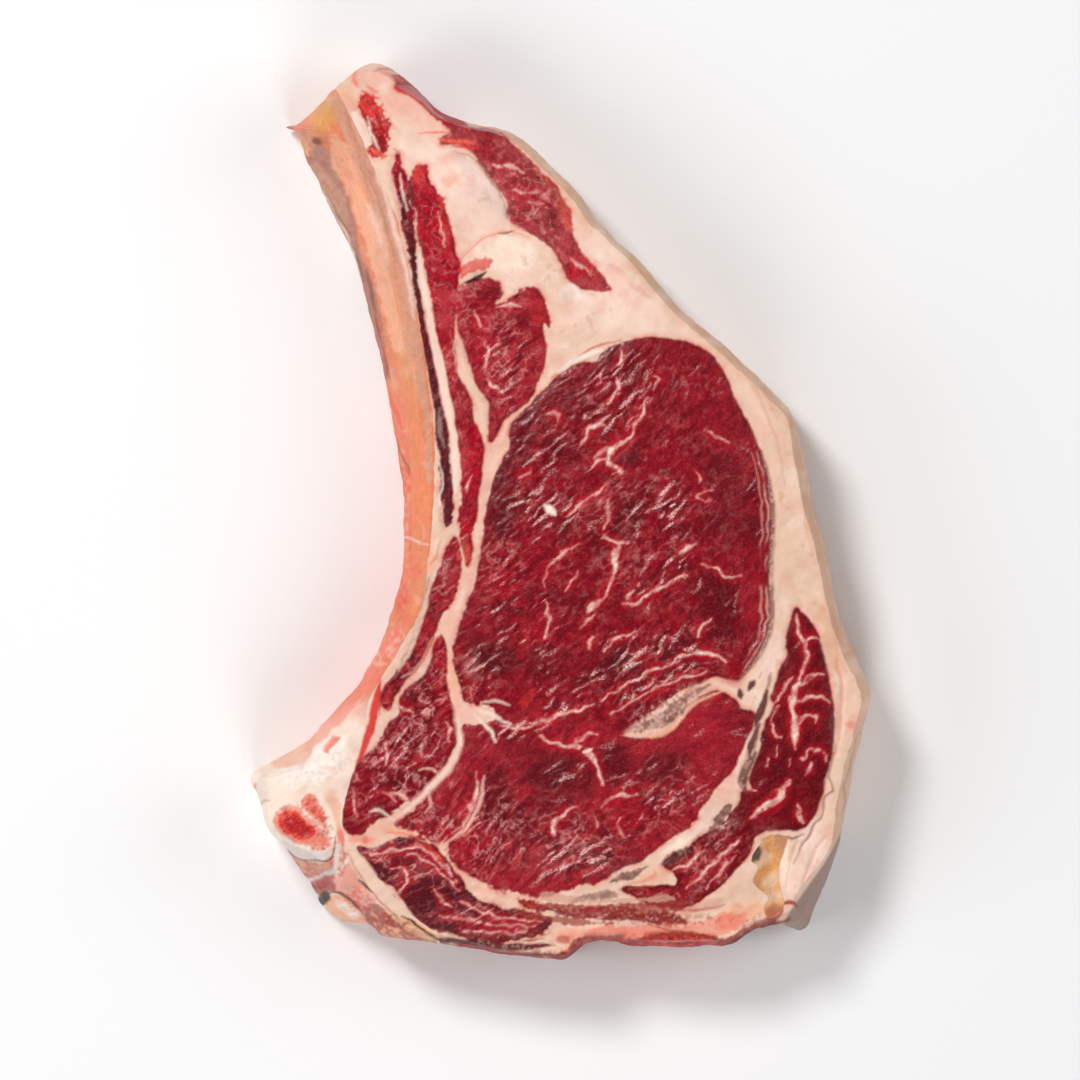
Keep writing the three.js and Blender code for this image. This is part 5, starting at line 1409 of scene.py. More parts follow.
HARD_AREAS = [
    # The outer flank of the rib, this mauve and the smoke area below: partly the bone's own colour and
    # partly painted shade on the flank
    (MAUVE, 0.85, 0.8, [
        (-80, 108), (-74, 107), (-68, 104), (-64.5, 96), (-62.8, 89), (-61, 80), (-57.4, 70), (-55.2, 61),
        (-53.4, 50), (-53, 40), (-60, 40), (-64, 56), (-70, 72), (-76, 86), (-82, 98),
    ]),
    (TAN, 0.4, 1.6, [(-78, 106), (-72, 104), (-67, 97), (-65, 88), (-66, 80), (-72, 88), (-78, 98)]),
    (SMOKE, 0.6, 1.6, [
        (-78, 101), (-72.4, 93), (-66, 81.4), (-61.4, 70), (-58, 59), (-62, 58), (-66, 70), (-71, 81),
        (-77, 92), (-81, 99),
    ]),
    (PEACH, 0.75, 1.3, [
        (-69, 113), (-63, 109), (-58, 95), (-53.6, 80), (-50, 65), (-47.6, 50), (-50, 48), (-53, 58),
        (-56, 70), (-60, 83), (-64, 95), (-69, 104),
    ]),
    (SALMON, 0.6, 0.9, [
        (-54, -41), (-62, -50), (-70, -61.4), (-78, -70), (-76, -72.4), (-68, -65.6), (-60, -56),
        (-53, -46),
    ]),
    (PEACH, 0.7, 0.5, [(-76, -68), (-86, -73.4), (-88, -76), (-84, -77.4), (-75, -73.6)]),
    (CORAL, 0.75, 0.9, [
        (-66, -67.8), (-68.6, -67.8), (-70.8, -69.6), (-71.8, -72), (-70.2, -72.8), (-68.2, -71),
        (-66.4, -69.6),
    ]),
    (WHITE, 0.7, 0.4, [
        (-63.6, -67), (-65.4, -67.4), (-69, -72.4), (-69.4, -77), (-67.4, -76.6), (-66, -72),
    ]),
    (MILK, 0.9, 0.5, [
        (-89, -94), (-87, -89), (-82, -86.4), (-78, -84), (-74, -83), (-70.4, -87), (-67.6, -95),
        (-67, -101), (-70, -103.6), (-78, -103), (-85, -99),
    ]),
    (PINK, 0.95, 0.7, [
        (-86.5, -92), (-84, -89.5), (-80, -88), (-76, -91.5), (-70.5, -96.5), (-69, -100),
        (-70.5, -101.5), (-75, -101), (-80, -99.5), (-84, -97), (-86, -94.5),
    ]),
    (SALMON, 0.9, 0.6, [
        (-85.6, -92.2), (-83, -90), (-80, -89), (-76.6, -92.4), (-71.4, -97), (-70, -100), (-75, -100.2),
        (-80, -98.6), (-84, -96),
    ]),
    (RED, 0.9, 0.8, [
        (-85, -92.4), (-83, -90.4), (-79.6, -90), (-76.4, -93.4), (-73.6, -96.4), (-75.6, -98.6),
        (-80, -97.6), (-83.6, -95.4),
    ]),
    (CRIMSON, 0.65, 1.1, [
        (-82, -92), (-79, -91.8), (-76, -94.6), (-75.4, -97.6), (-79, -96.8), (-82, -94.8),
    ]),
    (SALMON, 0.9, 0.6, [
        (-78, -88), (-76.5, -85), (-74, -85), (-72, -88), (-70, -94), (-69.5, -96.5), (-72, -94.5),
        (-74, -92.5), (-76.5, -90.5),
    ]),
    (CORAL, 0.7, 0.8, [
        (-76.6, -87), (-74.6, -86), (-72.8, -89), (-71.4, -93), (-73.6, -91.6), (-75.8, -89.4),
    ]),
    (LILAC, 0.9, 0.4, [
        (-85, -100.5), (-81, -103.5), (-76, -104.8), (-71, -104.8), (-68.8, -103.5), (-68.7, -100.5),
        (-71, -102.3), (-75, -102), (-79, -100.8), (-83, -99),
    ]),
    (RUST, 0.75, 0.5, [
        (-84, -102.4), (-78, -105.2), (-70, -105.4), (-68.4, -104.2), (-68, -108), (-72, -109.7),
        (-76, -111.8), (-80, -111),
    ]),
    (TAN, 0.5, 1.2, [
        (-80, -105.6), (-74, -106), (-69.4, -105.8), (-69, -107.4), (-73, -108.2), (-78, -108.4),
    ]),
    (CRIMSON, 0.8, 0.5, [
        (-67.6, -107.8), (-71, -109.4), (-74.4, -111.4), (-76.4, -113.6), (-74.5, -114.9), (-71, -113.6),
        (-68.4, -111),
    ]),
    (PINK, 0.9, 0.5, [
        (-67, -109.4), (-63, -105), (-57, -109), (-55, -116), (-58, -121), (-61.6, -119.4),
        (-64.4, -116.6), (-69, -114.6),
    ]),
    (BRICK, 0.85, 0.6, [
        (-76.6, -114), (-71.4, -113.6), (-68.4, -111.6), (-68.2, -114.4), (-71, -115.2), (-74.6, -116.4),
    ]),
    (PEACH, 0.95, 0.3, [
        (-70, -116.6), (-67.6, -115.7), (-64, -117.2), (-61, -119.7), (-59.6, -121.8), (-58.6, -126),
        (-63, -127), (-69, -126), (-72, -123), (-71.6, -119.6),
    ]),
    (PALE, 0.8, 0.4, [
        (-68, -117.6), (-65.4, -117.8), (-62, -120.4), (-60.6, -123), (-63, -124.2), (-66, -121.6),
        (-68.6, -120),
    ]),
    # Painted shade: near black in the hollow beside the tendon
    (BLACK_RED, 0.95, 0.5, [
        (-73.4, -117), (-72, -115.4), (-70, -115.1), (-69.8, -117.4), (-71.4, -119.6), (-73.4, -120.6),
    ]),
    (BRICK, 0.85, 0.9, [
        (-59, -119), (-54, -118.4), (-49, -121.6), (-44, -125.6), (-38, -129), (-36, -132), (-48, -131.4),
        (-56, -130), (-59.6, -124),
    ]),
    (RUST, 0.6, 1.3, [
        (-57, -121), (-53, -120.4), (-48, -124.4), (-42, -128.4), (-46, -130), (-53, -128.4),
        (-57.4, -125.4),
    ]),
    (PEACH, 0.6, 1.2, [(-54, -126), (-50, -125.4), (-46.4, -128), (-50, -129.6), (-54, -128.6)]),
    (CREAM, 0.95, 0.4, [
        (-65, -99), (-62.6, -98.4), (-58.4, -104.6), (-54, -110.4), (-48.6, -116), (-43.6, -120.6),
        (-38, -125.6), (-36, -129), (-40, -129), (-46, -125.6), (-51.4, -121), (-56.6, -115.6),
        (-61, -109.6), (-64.6, -103.4),
    ]),
    (OCHRE, 0.6, 0.8, [
        (-49.4, -121.6), (-44.4, -122.8), (-39, -126.4), (-35, -129.6), (-39.6, -129.6), (-46, -126),
    ]),
    (PEACH, 0.8, 0.5, [
        (-44, -122.6), (-40, -125), (-35.4, -127), (-30, -129), (-33.4, -130.4), (-38, -128.6),
        (-42, -125.6),
    ]),
    (DUSTY, 0.8, 0.5, [
        (-69, 124), (-64, 123), (-59.4, 113), (-55.4, 103), (-51.4, 92), (-48.4, 82), (-45.4, 71),
        (-43, 58), (-41.2, 44), (-39.4, 28), (-39, 8), (-39.6, 8), (-41.4, 28), (-45.4, 42), (-48, 56),
        (-51, 70), (-54, 82), (-57.6, 92), (-61.6, 103), (-65.6, 113),
    ]),
]
HARD_SPECKLED = [
    (BRICK, PEACH, 0.75, -51, -125, 8, 4.5, -25), (RUST, TAN, 0.6, -76, -108, 6, 3, 0),
    (CORAL, BLUSH, 0.7, -61, -117, 5, 4, -40), (SMOKE, DUSTY, 0.35, -68, 88, 4, 16, 22),
    (RUST, TAN, 0.16, -66, 104, 9, 8, 30), (UMBER, TAN, 0.3, -78, 110, 4, 5, 20),
    (CORAL, PEACH, 0.45, -48, -2, 3, 30, 0), (RUST, APRICOT, 0.25, -54, 50, 2.4, 14, 8),
    (CORAL, PALE, 0.35, -52, -42, 4, 8, -35), (BLUSH, WHITE, 0.4, -72, -78, 12, 4, 25),
    (RUST, BLUSH, 0.6, -67, -104, 3, 6, 0), (RUST, OCHRE, 0.18, -52, 74, 3, 14, 12),
]
HARD_STREAKS = [
    (MAUVE, 0.5, 0.8, 0.4, [(-65, 120), (-59.8, 107), (-55.6, 95), (-52, 84), (-49.6, 75)]),
    (PALE, 0.7, 1.6, 0.5, [(-61, 117), (-56.6, 106), (-52, 93), (-48.8, 81), (-46, 70), (-44, 58)]),
    (PALE, 0.5, 1.8, 0.9, [(-58, 92), (-56, 87), (-53.6, 81), (-52, 74)]),
    (ORANGE, 0.4, 1.4, 0.6, [(-60.5, 100), (-58.5, 94.6), (-56.6, 91)]),
    (ORANGE, 0.5, 1.2, 0.5, [
        (-54, 84), (-51.4, 76), (-49.5, 66), (-47.5, 57), (-45.5, 48), (-44.2, 40), (-43.8, 33),
    ]),
    (PALE, 0.75, 0.8, 0.3, [(-75, 101), (-70.4, 94), (-66, 86), (-63, 78), (-61, 71)]),
    (UMBER, 0.7, 0.9, 0.3, [(-71.5, 96.5), (-67.4, 89.4), (-64, 84)]),
    (UMBER, 0.75, 1.0, 0.35, [(-63.5, 81), (-61.5, 76), (-60, 70)]),
    (UMBER, 0.75, 1.0, 0.35, [(-59, 73), (-58, 69), (-57, 63.4), (-56, 60.5)]),
    (BRICK, 0.8, 1.2, 0.35, [(-56.3, 60), (-55.4, 55.5), (-54.8, 52)]),
    (CORAL, 0.85, 1.5, 0.4, [(-52, 35), (-50.8, 31.6), (-49, 28), (-48.3, 25)]),
    (BRICK, 0.7, 1.1, 0.4, [(-54, 50), (-52.8, 44), (-52, 40)]),
    (BRICK, 0.75, 0.7, 0.25, [(-49.6, 21.6), (-48, 16.5), (-46.2, 13), (-45.8, 10.4)]),
    (RUST, 0.6, 1.0, 0.35, [(-50, 20), (-48.6, 12), (-47.8, 3)]),
    (CORAL, 0.6, 0.6, 0.25, [(-45.6, 7), (-45.4, -2), (-45.5, -10), (-45.2, -18)]),
    (SALMON, 0.5, 0.5, 0.25, [(-43, 12), (-42.6, 0), (-42.8, -8)]),
    (SALMON, 0.5, 0.6, 0.3, [(-46.8, -12), (-46.2, -20), (-45.4, -27)]),
    (PALE, 0.95, 0.55, 0.2, [(-48.8, -7.6), (-45, -8.6), (-42, -9.8), (-39.5, -10.2)]),
    (SMOKE, 0.6, 0.6, 0.3, [(-46.5, -38), (-47.5, -40.5), (-46.5, -42.5)]),
    (RUST, 0.6, 1.2, 0.3, [(-52, -49), (-51, -50.5), (-53, -53)]),
    (UMBER, 0.7, 0.6, 0.25, [(-90.8, -88.6), (-89, -86.8), (-87.4, -87)]),
    (BLUSH, 0.75, 0.8, 0.3, [
        (-79.4, -87.6), (-77.5, -90.5), (-74, -93), (-71, -95), (-69.3, -98), (-69, -101.6),
    ]),
    # Painted shade: dark line under the rim of the marrow face
    (UMBER, 0.85, 0.6, 0.2, [
        (-85.4, -100.2), (-82, -103), (-78, -104.9), (-72, -105.1), (-69, -104.3), (-68, -101),
        (-67.4, -97.4),
    ]),
    (LILAC, 0.9, 1.4, 0.3, [(-67, -99.6), (-67.2, -105), (-68.4, -108.4), (-72, -110), (-77, -112)]),
    (SMOKE, 0.6, 0.6, 0.3, [(-65.8, -99), (-65.4, -103), (-64.6, -107)]),
    (MAUVE, 0.7, 0.6, 0.25, [
        (-64.4, -102), (-60.8, -108.4), (-56.4, -114.6), (-51, -120.4), (-46, -125),
    ]),
    (RED, 0.9, 0.9, 0.3, [(-50.6, -115), (-49.6, -115.6), (-48.8, -115.4)]),
    (DEEP, 0.95, 0.9, 0.22, [
        (-70.8, -115.8), (-67.2, -115), (-64, -116.8), (-61.5, -119.4), (-59.4, -122.4),
    ]),
    (BRICK, 0.8, 1.3, 0.35, [(-71, -122.4), (-69.6, -124), (-66, -125)]),
    # Painted highlights: white glints on the tendon
    (WHITE, 0.9, 1.0, 0.35, [(-64.6, -122.8), (-63, -121.8), (-61.6, -122)]),
    (WHITE, 0.8, 0.9, 0.4, [(-67.4, -119.4), (-65.6, -119), (-64.4, -119.8)]),
]
# Painted shade in the recess beside the strap, near black: x, y, radius, radius, degrees
STRAP_GAP_SHADE = (58.0, -103.2, 1.8, 3.6, -35)
# Where the strap turns to rust, where the vertebra begins and where the rib begins, each from
# nothing to all along Y
STRAP_RUST = (-117, -121)
VERTEBRA = (-60, -66)
RIB = (-62, -56)


def paint_strap(canvas):
    """The yellowish strap at the right, with rust at its lower end and painted shade in the recess beside
    it.
    """
    strap = smoothstep(-1.0, -0.2, DEPTHS["back_strap"])
    lay(canvas, OCHRE, strap)
    lay(canvas, SAND, strap * 0.75 * smoothstep(-0.35, 0.6, MOTTLE))
    lay(canvas, MAUVE, strap * 0.5 * smoothstep(0.1, 0.8, 0.6 * RAGS - MOTTLE))
    lay(canvas, RUST, strap * 0.6 * smoothstep(*STRAP_RUST, Y))
    lay(canvas, RUST, strap * 0.3 * smoothstep(0.5, 1.0, CLOUD + 0.6 * SPECK))
    # Painted shade: near black in the recess beside the strap
    part, cover = patch(*STRAP_GAP_SHADE)
    lay(canvas, BLACK_RED, 0.85 * smoothstep(0.15, 0.7, cover), part)


def paint_hard():
    """The rib, the vertebra with its marrow and tendon, and the strap."""
    canvas = plain_canvas(FLANK)
    lay(canvas, MILK, smoothstep(*VERTEBRA, Y))
    paint_blots(canvas, HARD_BLOTS)
    rib = smoothstep(*RIB, Y)
    lay(canvas, CORAL, 0.35 * rib * smoothstep(0.2, 1.0, 0.7 * MOTTLE + 0.4 * RAGS))
    lay(canvas, PALE, 0.2 * rib * smoothstep(0.3, 1.0, 0.5 * RAGS - MOTTLE))
    lay(canvas, PINK, 0.25 * (1 - rib) * smoothstep(0.3, 1.1, MOTTLE + 0.4 * CLOUD))
    paint_areas(canvas, HARD_AREAS)
    paint_speckles(canvas, HARD_SPECKLED)
    paint_streaks(canvas, HARD_STREAKS)
    paint_streaks(canvas, SHARED_STREAKS)
    marrow = smoothstep(-0.4, 0.4, DEPTHS["marrow"])
    lay(canvas, CRIMSON, 0.45 * marrow * smoothstep(0.25, 0.7, SPECK))
    lay(canvas, BLUSH, 0.15 * marrow * smoothstep(0.35, 0.9, -SPECK))
    paint_strap(canvas)
    return canvas


# The relief of the top face

# Small hollows and lumps: x, y, radius, radius, degrees, depth or height
HOLLOWS = [
    (-25, 70.2, 2.0, 0.8, 30, 0.6), (-72.2, -117.4, 1.8, 2.2, -20, 1.2),
    (58.2, -102.6, 2.4, 4.2, -35, 0.8), (-21, 96, 3.0, 13, 35, 0.9), (63.5, -106, 3.0, 9.0, 5, 1.6),
]
LUMPS = [
    (-29, 91, 8, 11, 15, 0.6), (-15, 77, 9, 5, 0, 0.9), (-25.5, 73.4, 4, 1.6, 30, 0.8),
    (72, -106, 5, 9, 20, 0.8), (-3.3, 0.2, 1.8, 1.2, -35, 0.5), (31, -62, 7, 3, 35, 0.4),
    (54.5, -79, 2, 5, -25, -0.3), (47, -92.5, 3.5, 2.5, 50, -0.3), (29, -108, 6, 2.4, 10, 0.4),
    (-80, -76, 9, 4, 20, 0.5),
]
# Folds in the surface, as lines of x, y, width
FOLD_LINES = [
    [(-30, 75, 1.4), (-27, 78.5, 1.6), (-23, 82, 1.8), (-18, 83.7, 1.6), (-13, 83.4, 1.4), (-9, 82, 1.2)],
    [(-31, 107.6, 1.0), (-24, 103.5, 1.4), (-18, 95, 1.4), (-16, 88, 1.0)],
    [
        (83.2, -45, 1.2), (84.3, -52, 1.4), (84, -60, 1.6), (83, -70, 1.6), (80.6, -79.5, 1.6),
        (79, -87, 1.6), (77.8, -92, 1.4), (72, -101, 1.4),
    ],
    [(89, -68, 0.9), (87.4, -75, 1.2), (85.2, -83, 1.2), (85, -90, 0.9)],
    [(60.5, -98.6, 1.0), (64, -97.7, 1.4), (69, -98.3, 1.2), (73, -97, 0.8)],
    [(71, -98.5, 0.8), (70, -102, 1.2), (68, -108, 1.2), (67.5, -113, 0.8)],
    [(79.5, -98, 0.8), (76, -103, 1.2), (73.5, -110, 1.0), (71, -116, 0.8)],
    [(-60.2, -111, 0.8), (-57, -114, 0.7)],
    [(-47, -121.8, 0.6), (-42, -124.6, 1.0), (-37, -128.4, 1.0), (-32, -130, 0.8)],
    [
        (-70.5, -115.8, 1.0), (-67.2, -114.9, 1.0), (-64, -116.7, 1.2), (-61.5, -119.5, 1.2),
        (-59, -122.8, 0.8),
    ],
    [(-33, -129.4, 0.8), (-22, -130.4, 1.2), (-12, -131.9, 1.0), (-3, -131.5, 0.6)],
    [(-13, -133.1, 0.6), (-2, -133.3, 0.8)],
    [
        (-64, 120, 0.8), (-58.8, 102, 1.0), (-55.5, 89, 1.0), (-52.5, 77, 1.0), (-49, 62, 0.9),
        (-46, 48, 0.8),
    ],
]
FOLD_DEPTH = 0.45
# How far each piece stands out in its middle
BULGES = {
    "tendon": 1.5, "marrow": -0.3, "rib_bone": -0.6, "chine_bone": 1.0, "back_strap": -3.5,
    "eye_muscle": 0.9, "under_muscle": 0.8, "cap_muscle": 0.8, "corner_muscle": 0.7, "bottom_muscle": 0.7,
    "upper_muscle": 0.6, "rib_strip": 0.5, "lower_rib_strip": -0.6, "dark_strip": -1.0, "end_muscle": 0.5,
    "top_strip": 0.6, "bottom_strip": 0.4, "edge_strip": 0.4,
}
BULGE_REACH = 11.0


def base_height():
    """The broad shape of the top face."""
    height = np.full(X.shape, THICKNESS)
    for x, y, radius, swell in SWELLINGS:
        height += swell * np.exp(-((X - x) ** 2 + (Y - y) ** 2) / radius**2)
    return height


def top_relief():
    """The height of the top face at each lattice point."""
    top = base_height()
    for name, bulge in BULGES.items():
        top += bulge * (1 - np.exp(-np.maximum(DEPTHS[name], 0) / BULGE_REACH))
    top += 0.12 * smoothstep(-0.3, 3.5, SIGNED) - 0.10 * bell(BORDER, 0.7)
    top += FIBRE_HEIGHT + 0.03 * MEAT_MASK * SPECK
    top += 0.04 * VEIN_COVER
    fat = 1 - MEAT_MASK
    top += fat * (0.30 * CLOUD + 0.11 * MOTTLE + 0.05 * np.tanh(RAGS / 0.4) + 0.02 * SPECK)
    for x, y, radius_x, radius_y, degrees, depth in HOLLOWS:
        part, cover = patch(x, y, radius_x, radius_y, degrees, warp=0.8)
        top[part] -= depth * cover
    for x, y, radius_x, radius_y, degrees, height in LUMPS:
        part, cover = patch(x, y, radius_x, radius_y, degrees)
        top[part] += height * cover
    for points in FOLD_LINES:
        part, cover = stroke(points, 0.5, warp=0.7)
        top[part] -= FOLD_DEPTH * cover
    return top


def under_relief():
    """The underside lies on the board, with only shallow dips between the raised fibres."""
    dips = 0.10 * (1 - np.abs(np.tanh(RIDGES))) * MEAT_MASK + 0.06 * smoothstep(0.0, 1.0, MOTTLE)
    return np.maximum(0, dips - 0.04) + 0.25 * bell(BORDER, 0.6)


SOFT_CANVAS = paint_soft()
HARD_CANVAS = paint_hard()
TOP = top_relief()
UNDER = under_relief()

# Pieces in the order in which they take their room: node, material slot
PIECES_IN_ORDER = [
    ("tendon", "cartilage"), ("marrow", "marrow"), ("rib_bone", "bone"), ("chine_bone", "cartilage"),
    ("back_strap", "ligament"), ("eye_muscle", "lean"), ("under_muscle", "lean"), ("cap_muscle", "lean"),
    ("corner_muscle", "lean"), ("bottom_muscle", "dark_lean"), ("upper_muscle", "lean"),
    ("rib_strip", "lean"), ("lower_rib_strip", "dark_lean"), ("dark_strip", "dark_lean"),
    ("end_muscle", "lean"), ("top_strip", "lean"), ("bottom_strip", "lean"), ("edge_strip", "lean"),
]
# The fat takes the rest, in three bands: piece, front and back end
FAT_BANDS = [("fat_front", -141, -62), ("fat_middle", -62, 45), ("fat_back", 45, 141)]


def boxes_meet(a, b):
    """True where the boxes round two outlines overlap."""
    low = np.maximum(a[:, :2].min(axis=0), b[:, :2].min(axis=0))
    high = np.minimum(a[:, :2].max(axis=0), b[:, :2].max(axis=0))
    return bool(np.all(low < high))


def rectangle(left, right, front, back):
    """A rectangle as a closed outline."""
    return np.array([(left, front), (right, front), (right, back), (left, back)])


def carved(name, outline, own_tool, body, taken):
    """What lies under the relief, in its own tool and the body, and in none of the taken rooms."""
    thing = object_of(slab(name, outline, TOP, UNDER))
    cut(thing, own_tool, "INTERSECT")
    cut(thing, body, "INTERSECT")
    for other, tool in taken:
        if boxes_meet(outline, OUTLINES[other]):
            cut(thing, tool, "DIFFERENCE")
    return thing


def build():
    """All pieces: object, name, node and slot."""
    body = object_of(stacked("body", side_rings(STEAK)))
    made = []
    taken = []
    for node_name, slot in PIECES_IN_ORDER:
        tool = object_of(prism("tool_" + node_name, OUTLINES[node_name]))
        thing = carved(node_name, OUTLINES[node_name], tool, body, taken)
        taken.append((node_name, tool))
        made.append((thing, node_name + "_piece", node_name, slot))
    for name, front, back in FAT_BANDS:
        tool = object_of(prism("band", rectangle(LEFT - 1, RIGHT + 1, front, back)))
        thing = carved(name, rectangle(LEFT, RIGHT, front, back), tool, body, taken)
        bpy.data.objects.remove(tool)
        made.append((thing, name, "fat", "fat"))
    for _, tool in taken:
        bpy.data.objects.remove(tool)
    bpy.data.objects.remove(body)
    return made


# Materials


def node(tree, kind, **settings):
    """A new node with the given settings."""
    made = tree.nodes.new(kind)
    for key, value in settings.items():
        setattr(made, key, value)
    return made


def feed(tree, socket, value):
    """Sets a socket to a number or a colour, or links another socket to it."""
    if isinstance(value, (int, float)):
        socket.default_value = value
    elif isinstance(value, np.ndarray):
        socket.default_value = (*value, 1.0)
    else:
        tree.links.new(value, socket)


def math_node(tree, operation, first, second):
    """A sum or product of two values."""
    made = node(tree, "ShaderNodeMath", operation=operation)
    feed(tree, made.inputs[0], first)
    feed(tree, made.inputs[1], second)
    return made.outputs[0]


def scaled_noise(tree, vector, scale, detail):
    """Noise over the grain coordinates in millimetres, stretched by the three scales."""
    stretch = node(tree, "ShaderNodeVectorMath", operation="MULTIPLY")
    stretch.inputs[1].default_value = scale
    tree.links.new(vector, stretch.inputs[0])
    noise = node(tree, "ShaderNodeTexNoise")
    noise.inputs["Scale"].default_value = 1.0
    noise.inputs["Detail"].default_value = detail
    noise.inputs["Roughness"].default_value = 0.55
    tree.links.new(stretch.outputs[0], noise.inputs["Vector"])
    return noise.outputs["Fac"]


def ramp(tree, value, low, high, to_low, to_high):
    """Maps the value from one range to another."""
    made = node(tree, "ShaderNodeMapRange")
    made.inputs["From Min"].default_value = low
    made.inputs["From Max"].default_value = high
    made.inputs["To Min"].default_value = to_low
    made.inputs["To Max"].default_value = to_high
    tree.links.new(value, made.inputs["Value"])
    return made.outputs["Result"]


def mixed(tree, factor, first, second):
    """The first colour with a share of the second."""
    made = node(tree, "ShaderNodeMix", data_type="RGBA", blend_type="MIX")
    feed(tree, made.inputs["Factor"], factor)
    feed(tree, made.inputs["A"], first)
    feed(tree, made.inputs["B"], second)
    return made.outputs["Result"]


def tissue_colour(tree, streak, dots, broad, contrast, pink):
    """The painted colour, uneven by the noises, with pink dots and with painted glints as beads on the
    lit flanks of the ridges.
    """
    paint = node(tree, "ShaderNodeAttribute", attribute_name="paint")
    sheen = node(tree, "ShaderNodeAttribute", attribute_name="sheen")
    light = ramp(tree, streak, 0.3, 0.7, 1 - contrast, 1 + contrast)
    dotted = ramp(tree, dots, 0.3, 0.7, 1 - contrast, 1 + contrast)
    light = math_node(tree, "MULTIPLY", light, dotted)
    light = math_node(tree, "MULTIPLY", light, ramp(tree, broad, 0.3, 0.7, 0.95, 1.05))
    shade = node(tree, "ShaderNodeVectorMath", operation="SCALE")
    tree.links.new(paint.outputs["Color"], shade.inputs[0])
    tree.links.new(light, shade.inputs["Scale"])
    tinted = mixed(tree, ramp(tree, dots, 0.58, 0.70, 0.0, pink), shade.outputs[0], PINK)
    # Painted highlight: glint dots mixed into the base colour on the lit ridge flanks
    spots = ramp(tree, dots, 0.46, 0.60, 0.0, 0.78)
    painted_glints = math_node(tree, "MULTIPLY", spots, sheen.outputs["Fac"])
    return mixed(tree, painted_glints, tinted, PAINTED_GLINT)


def tissue_relief(tree, streak, dots, bump):
    """The finest relief, higher where the fibres stand up."""
    rough = node(tree, "ShaderNodeAttribute", attribute_name="rough")
    streaked = math_node(tree, "MULTIPLY", streak, 0.6)
    height = math_node(tree, "ADD", streaked, math_node(tree, "MULTIPLY", dots, 0.4))
    share = ramp(tree, rough.outputs["Fac"], 0.0, 1.0, 0.2, 1.0)
    relief = node(tree, "ShaderNodeBump")
    relief.inputs["Strength"].default_value = 1.0
    relief.inputs["Distance"].default_value = bump * MM
    tree.links.new(math_node(tree, "MULTIPLY", height, share), relief.inputs["Height"])
    return relief.outputs[0]


# How far red, green and blue light goes through the paler tissues, in metres
SCATTER_RADIUS = (0.0016, 0.0008, 0.0005)


def tissue(name, stretch, fine, contrast, pink, gloss, coat, shine, bump, scatter):
    """A moist tissue over the painted colour.
    stretch says how much longer than wide its pattern is, fine how large its grains are in
    millimetres, contrast how much they differ, pink how many pale dots there are, gloss how rough
    its sheen is, coat how wet it is, shine how much it mirrors, bump how high its finest relief
    is in millimetres and scatter how much light goes through it."""
    material = bpy.data.materials.new(name)
    material.use_nodes = True
    tree = material.node_tree
    tree.nodes.clear()
    out = node(tree, "ShaderNodeOutputMaterial")
    shader = node(tree, "ShaderNodeBsdfPrincipled")
    tree.links.new(shader.outputs[0], out.inputs["Surface"])
    vector = node(tree, "ShaderNodeAttribute", attribute_name="grain").outputs["Vector"]
    streak = scaled_noise(tree, vector, (0.7 / (fine * stretch), 0.7 / fine, 0.7 / fine), 3.0)
    dots = scaled_noise(tree, vector, (1.3 / fine, 1.5 / fine, 1.4 / fine), 2.0)
    broad = scaled_noise(tree, vector, (0.12, 0.16, 0.12), 2.0)
    seen = tissue_colour(tree, streak, dots, broad, contrast, pink)
    tree.links.new(seen, shader.inputs["Base Color"])
    roughness = ramp(tree, dots, 0.3, 0.7, gloss - 0.05, gloss + 0.08)
    tree.links.new(roughness, shader.inputs["Roughness"])
    shader.inputs["Coat Weight"].default_value = coat
    shader.inputs["Specular IOR Level"].default_value = shine
    shader.inputs["Coat Roughness"].default_value = 0.14
    shader.inputs["IOR"].default_value = 1.40
    shader.inputs["Specular Tint"].default_value = (1.0, 0.82, 0.78, 1.0)
    if scatter:
        shader.inputs["Subsurface Weight"].default_value = scatter
        shader.inputs["Subsurface Radius"].default_value = SCATTER_RADIUS
        shader.inputs["Subsurface Scale"].default_value = 1.0
    relief = tissue_relief(tree, streak, dots, bump)
    tree.links.new(relief, shader.inputs["Normal"])
    tree.links.new(relief, shader.inputs["Coat Normal"])
    return material


# Tissues: stretch, fine, contrast, pink, gloss, coat, shine, bump, scatter
TISSUES = {
    "lean": (2.5, 0.7, 0.18, 0.05, 0.32, 0.15, 0.45, 0.34, 0.0),
    "dark_lean": (2.5, 0.7, 0.18, 0.05, 0.32, 0.15, 0.45, 0.34, 0.0),
    "fat": (1.2, 2.0, 0.03, 0.05, 0.50, 0.04, 0.15, 0.12, 0.10),
    "bone": (2.5, 1.2, 0.07, 0.05, 0.52, 0.05, 0.20, 0.16, 0.1),
    "cartilage": (1.2, 2.0, 0.04, 0.05, 0.50, 0.06, 0.22, 0.10, 0.15),
    "marrow": (1.0, 0.9, 0.16, 0.25, 0.50, 0.08, 0.30, 0.25, 0.0),
    "ligament": (2.5, 1.2, 0.08, 0.05, 0.46, 0.06, 0.20, 0.12, 0.1),
}
MATERIALS = {name: tissue(name, *looks) for name, looks in TISSUES.items()}
SOFT_SLOTS = ("lean", "dark_lean", "fat")
SHARP_DEGREES = 55


def set_attribute(mesh, name, kind, key, values):
    """Stores values for each vertex, for the material to read."""
    attribute = mesh.attributes.new(name, kind, "POINT")
    attribute.data.foreach_set(key, values.astype(np.float32).ravel())


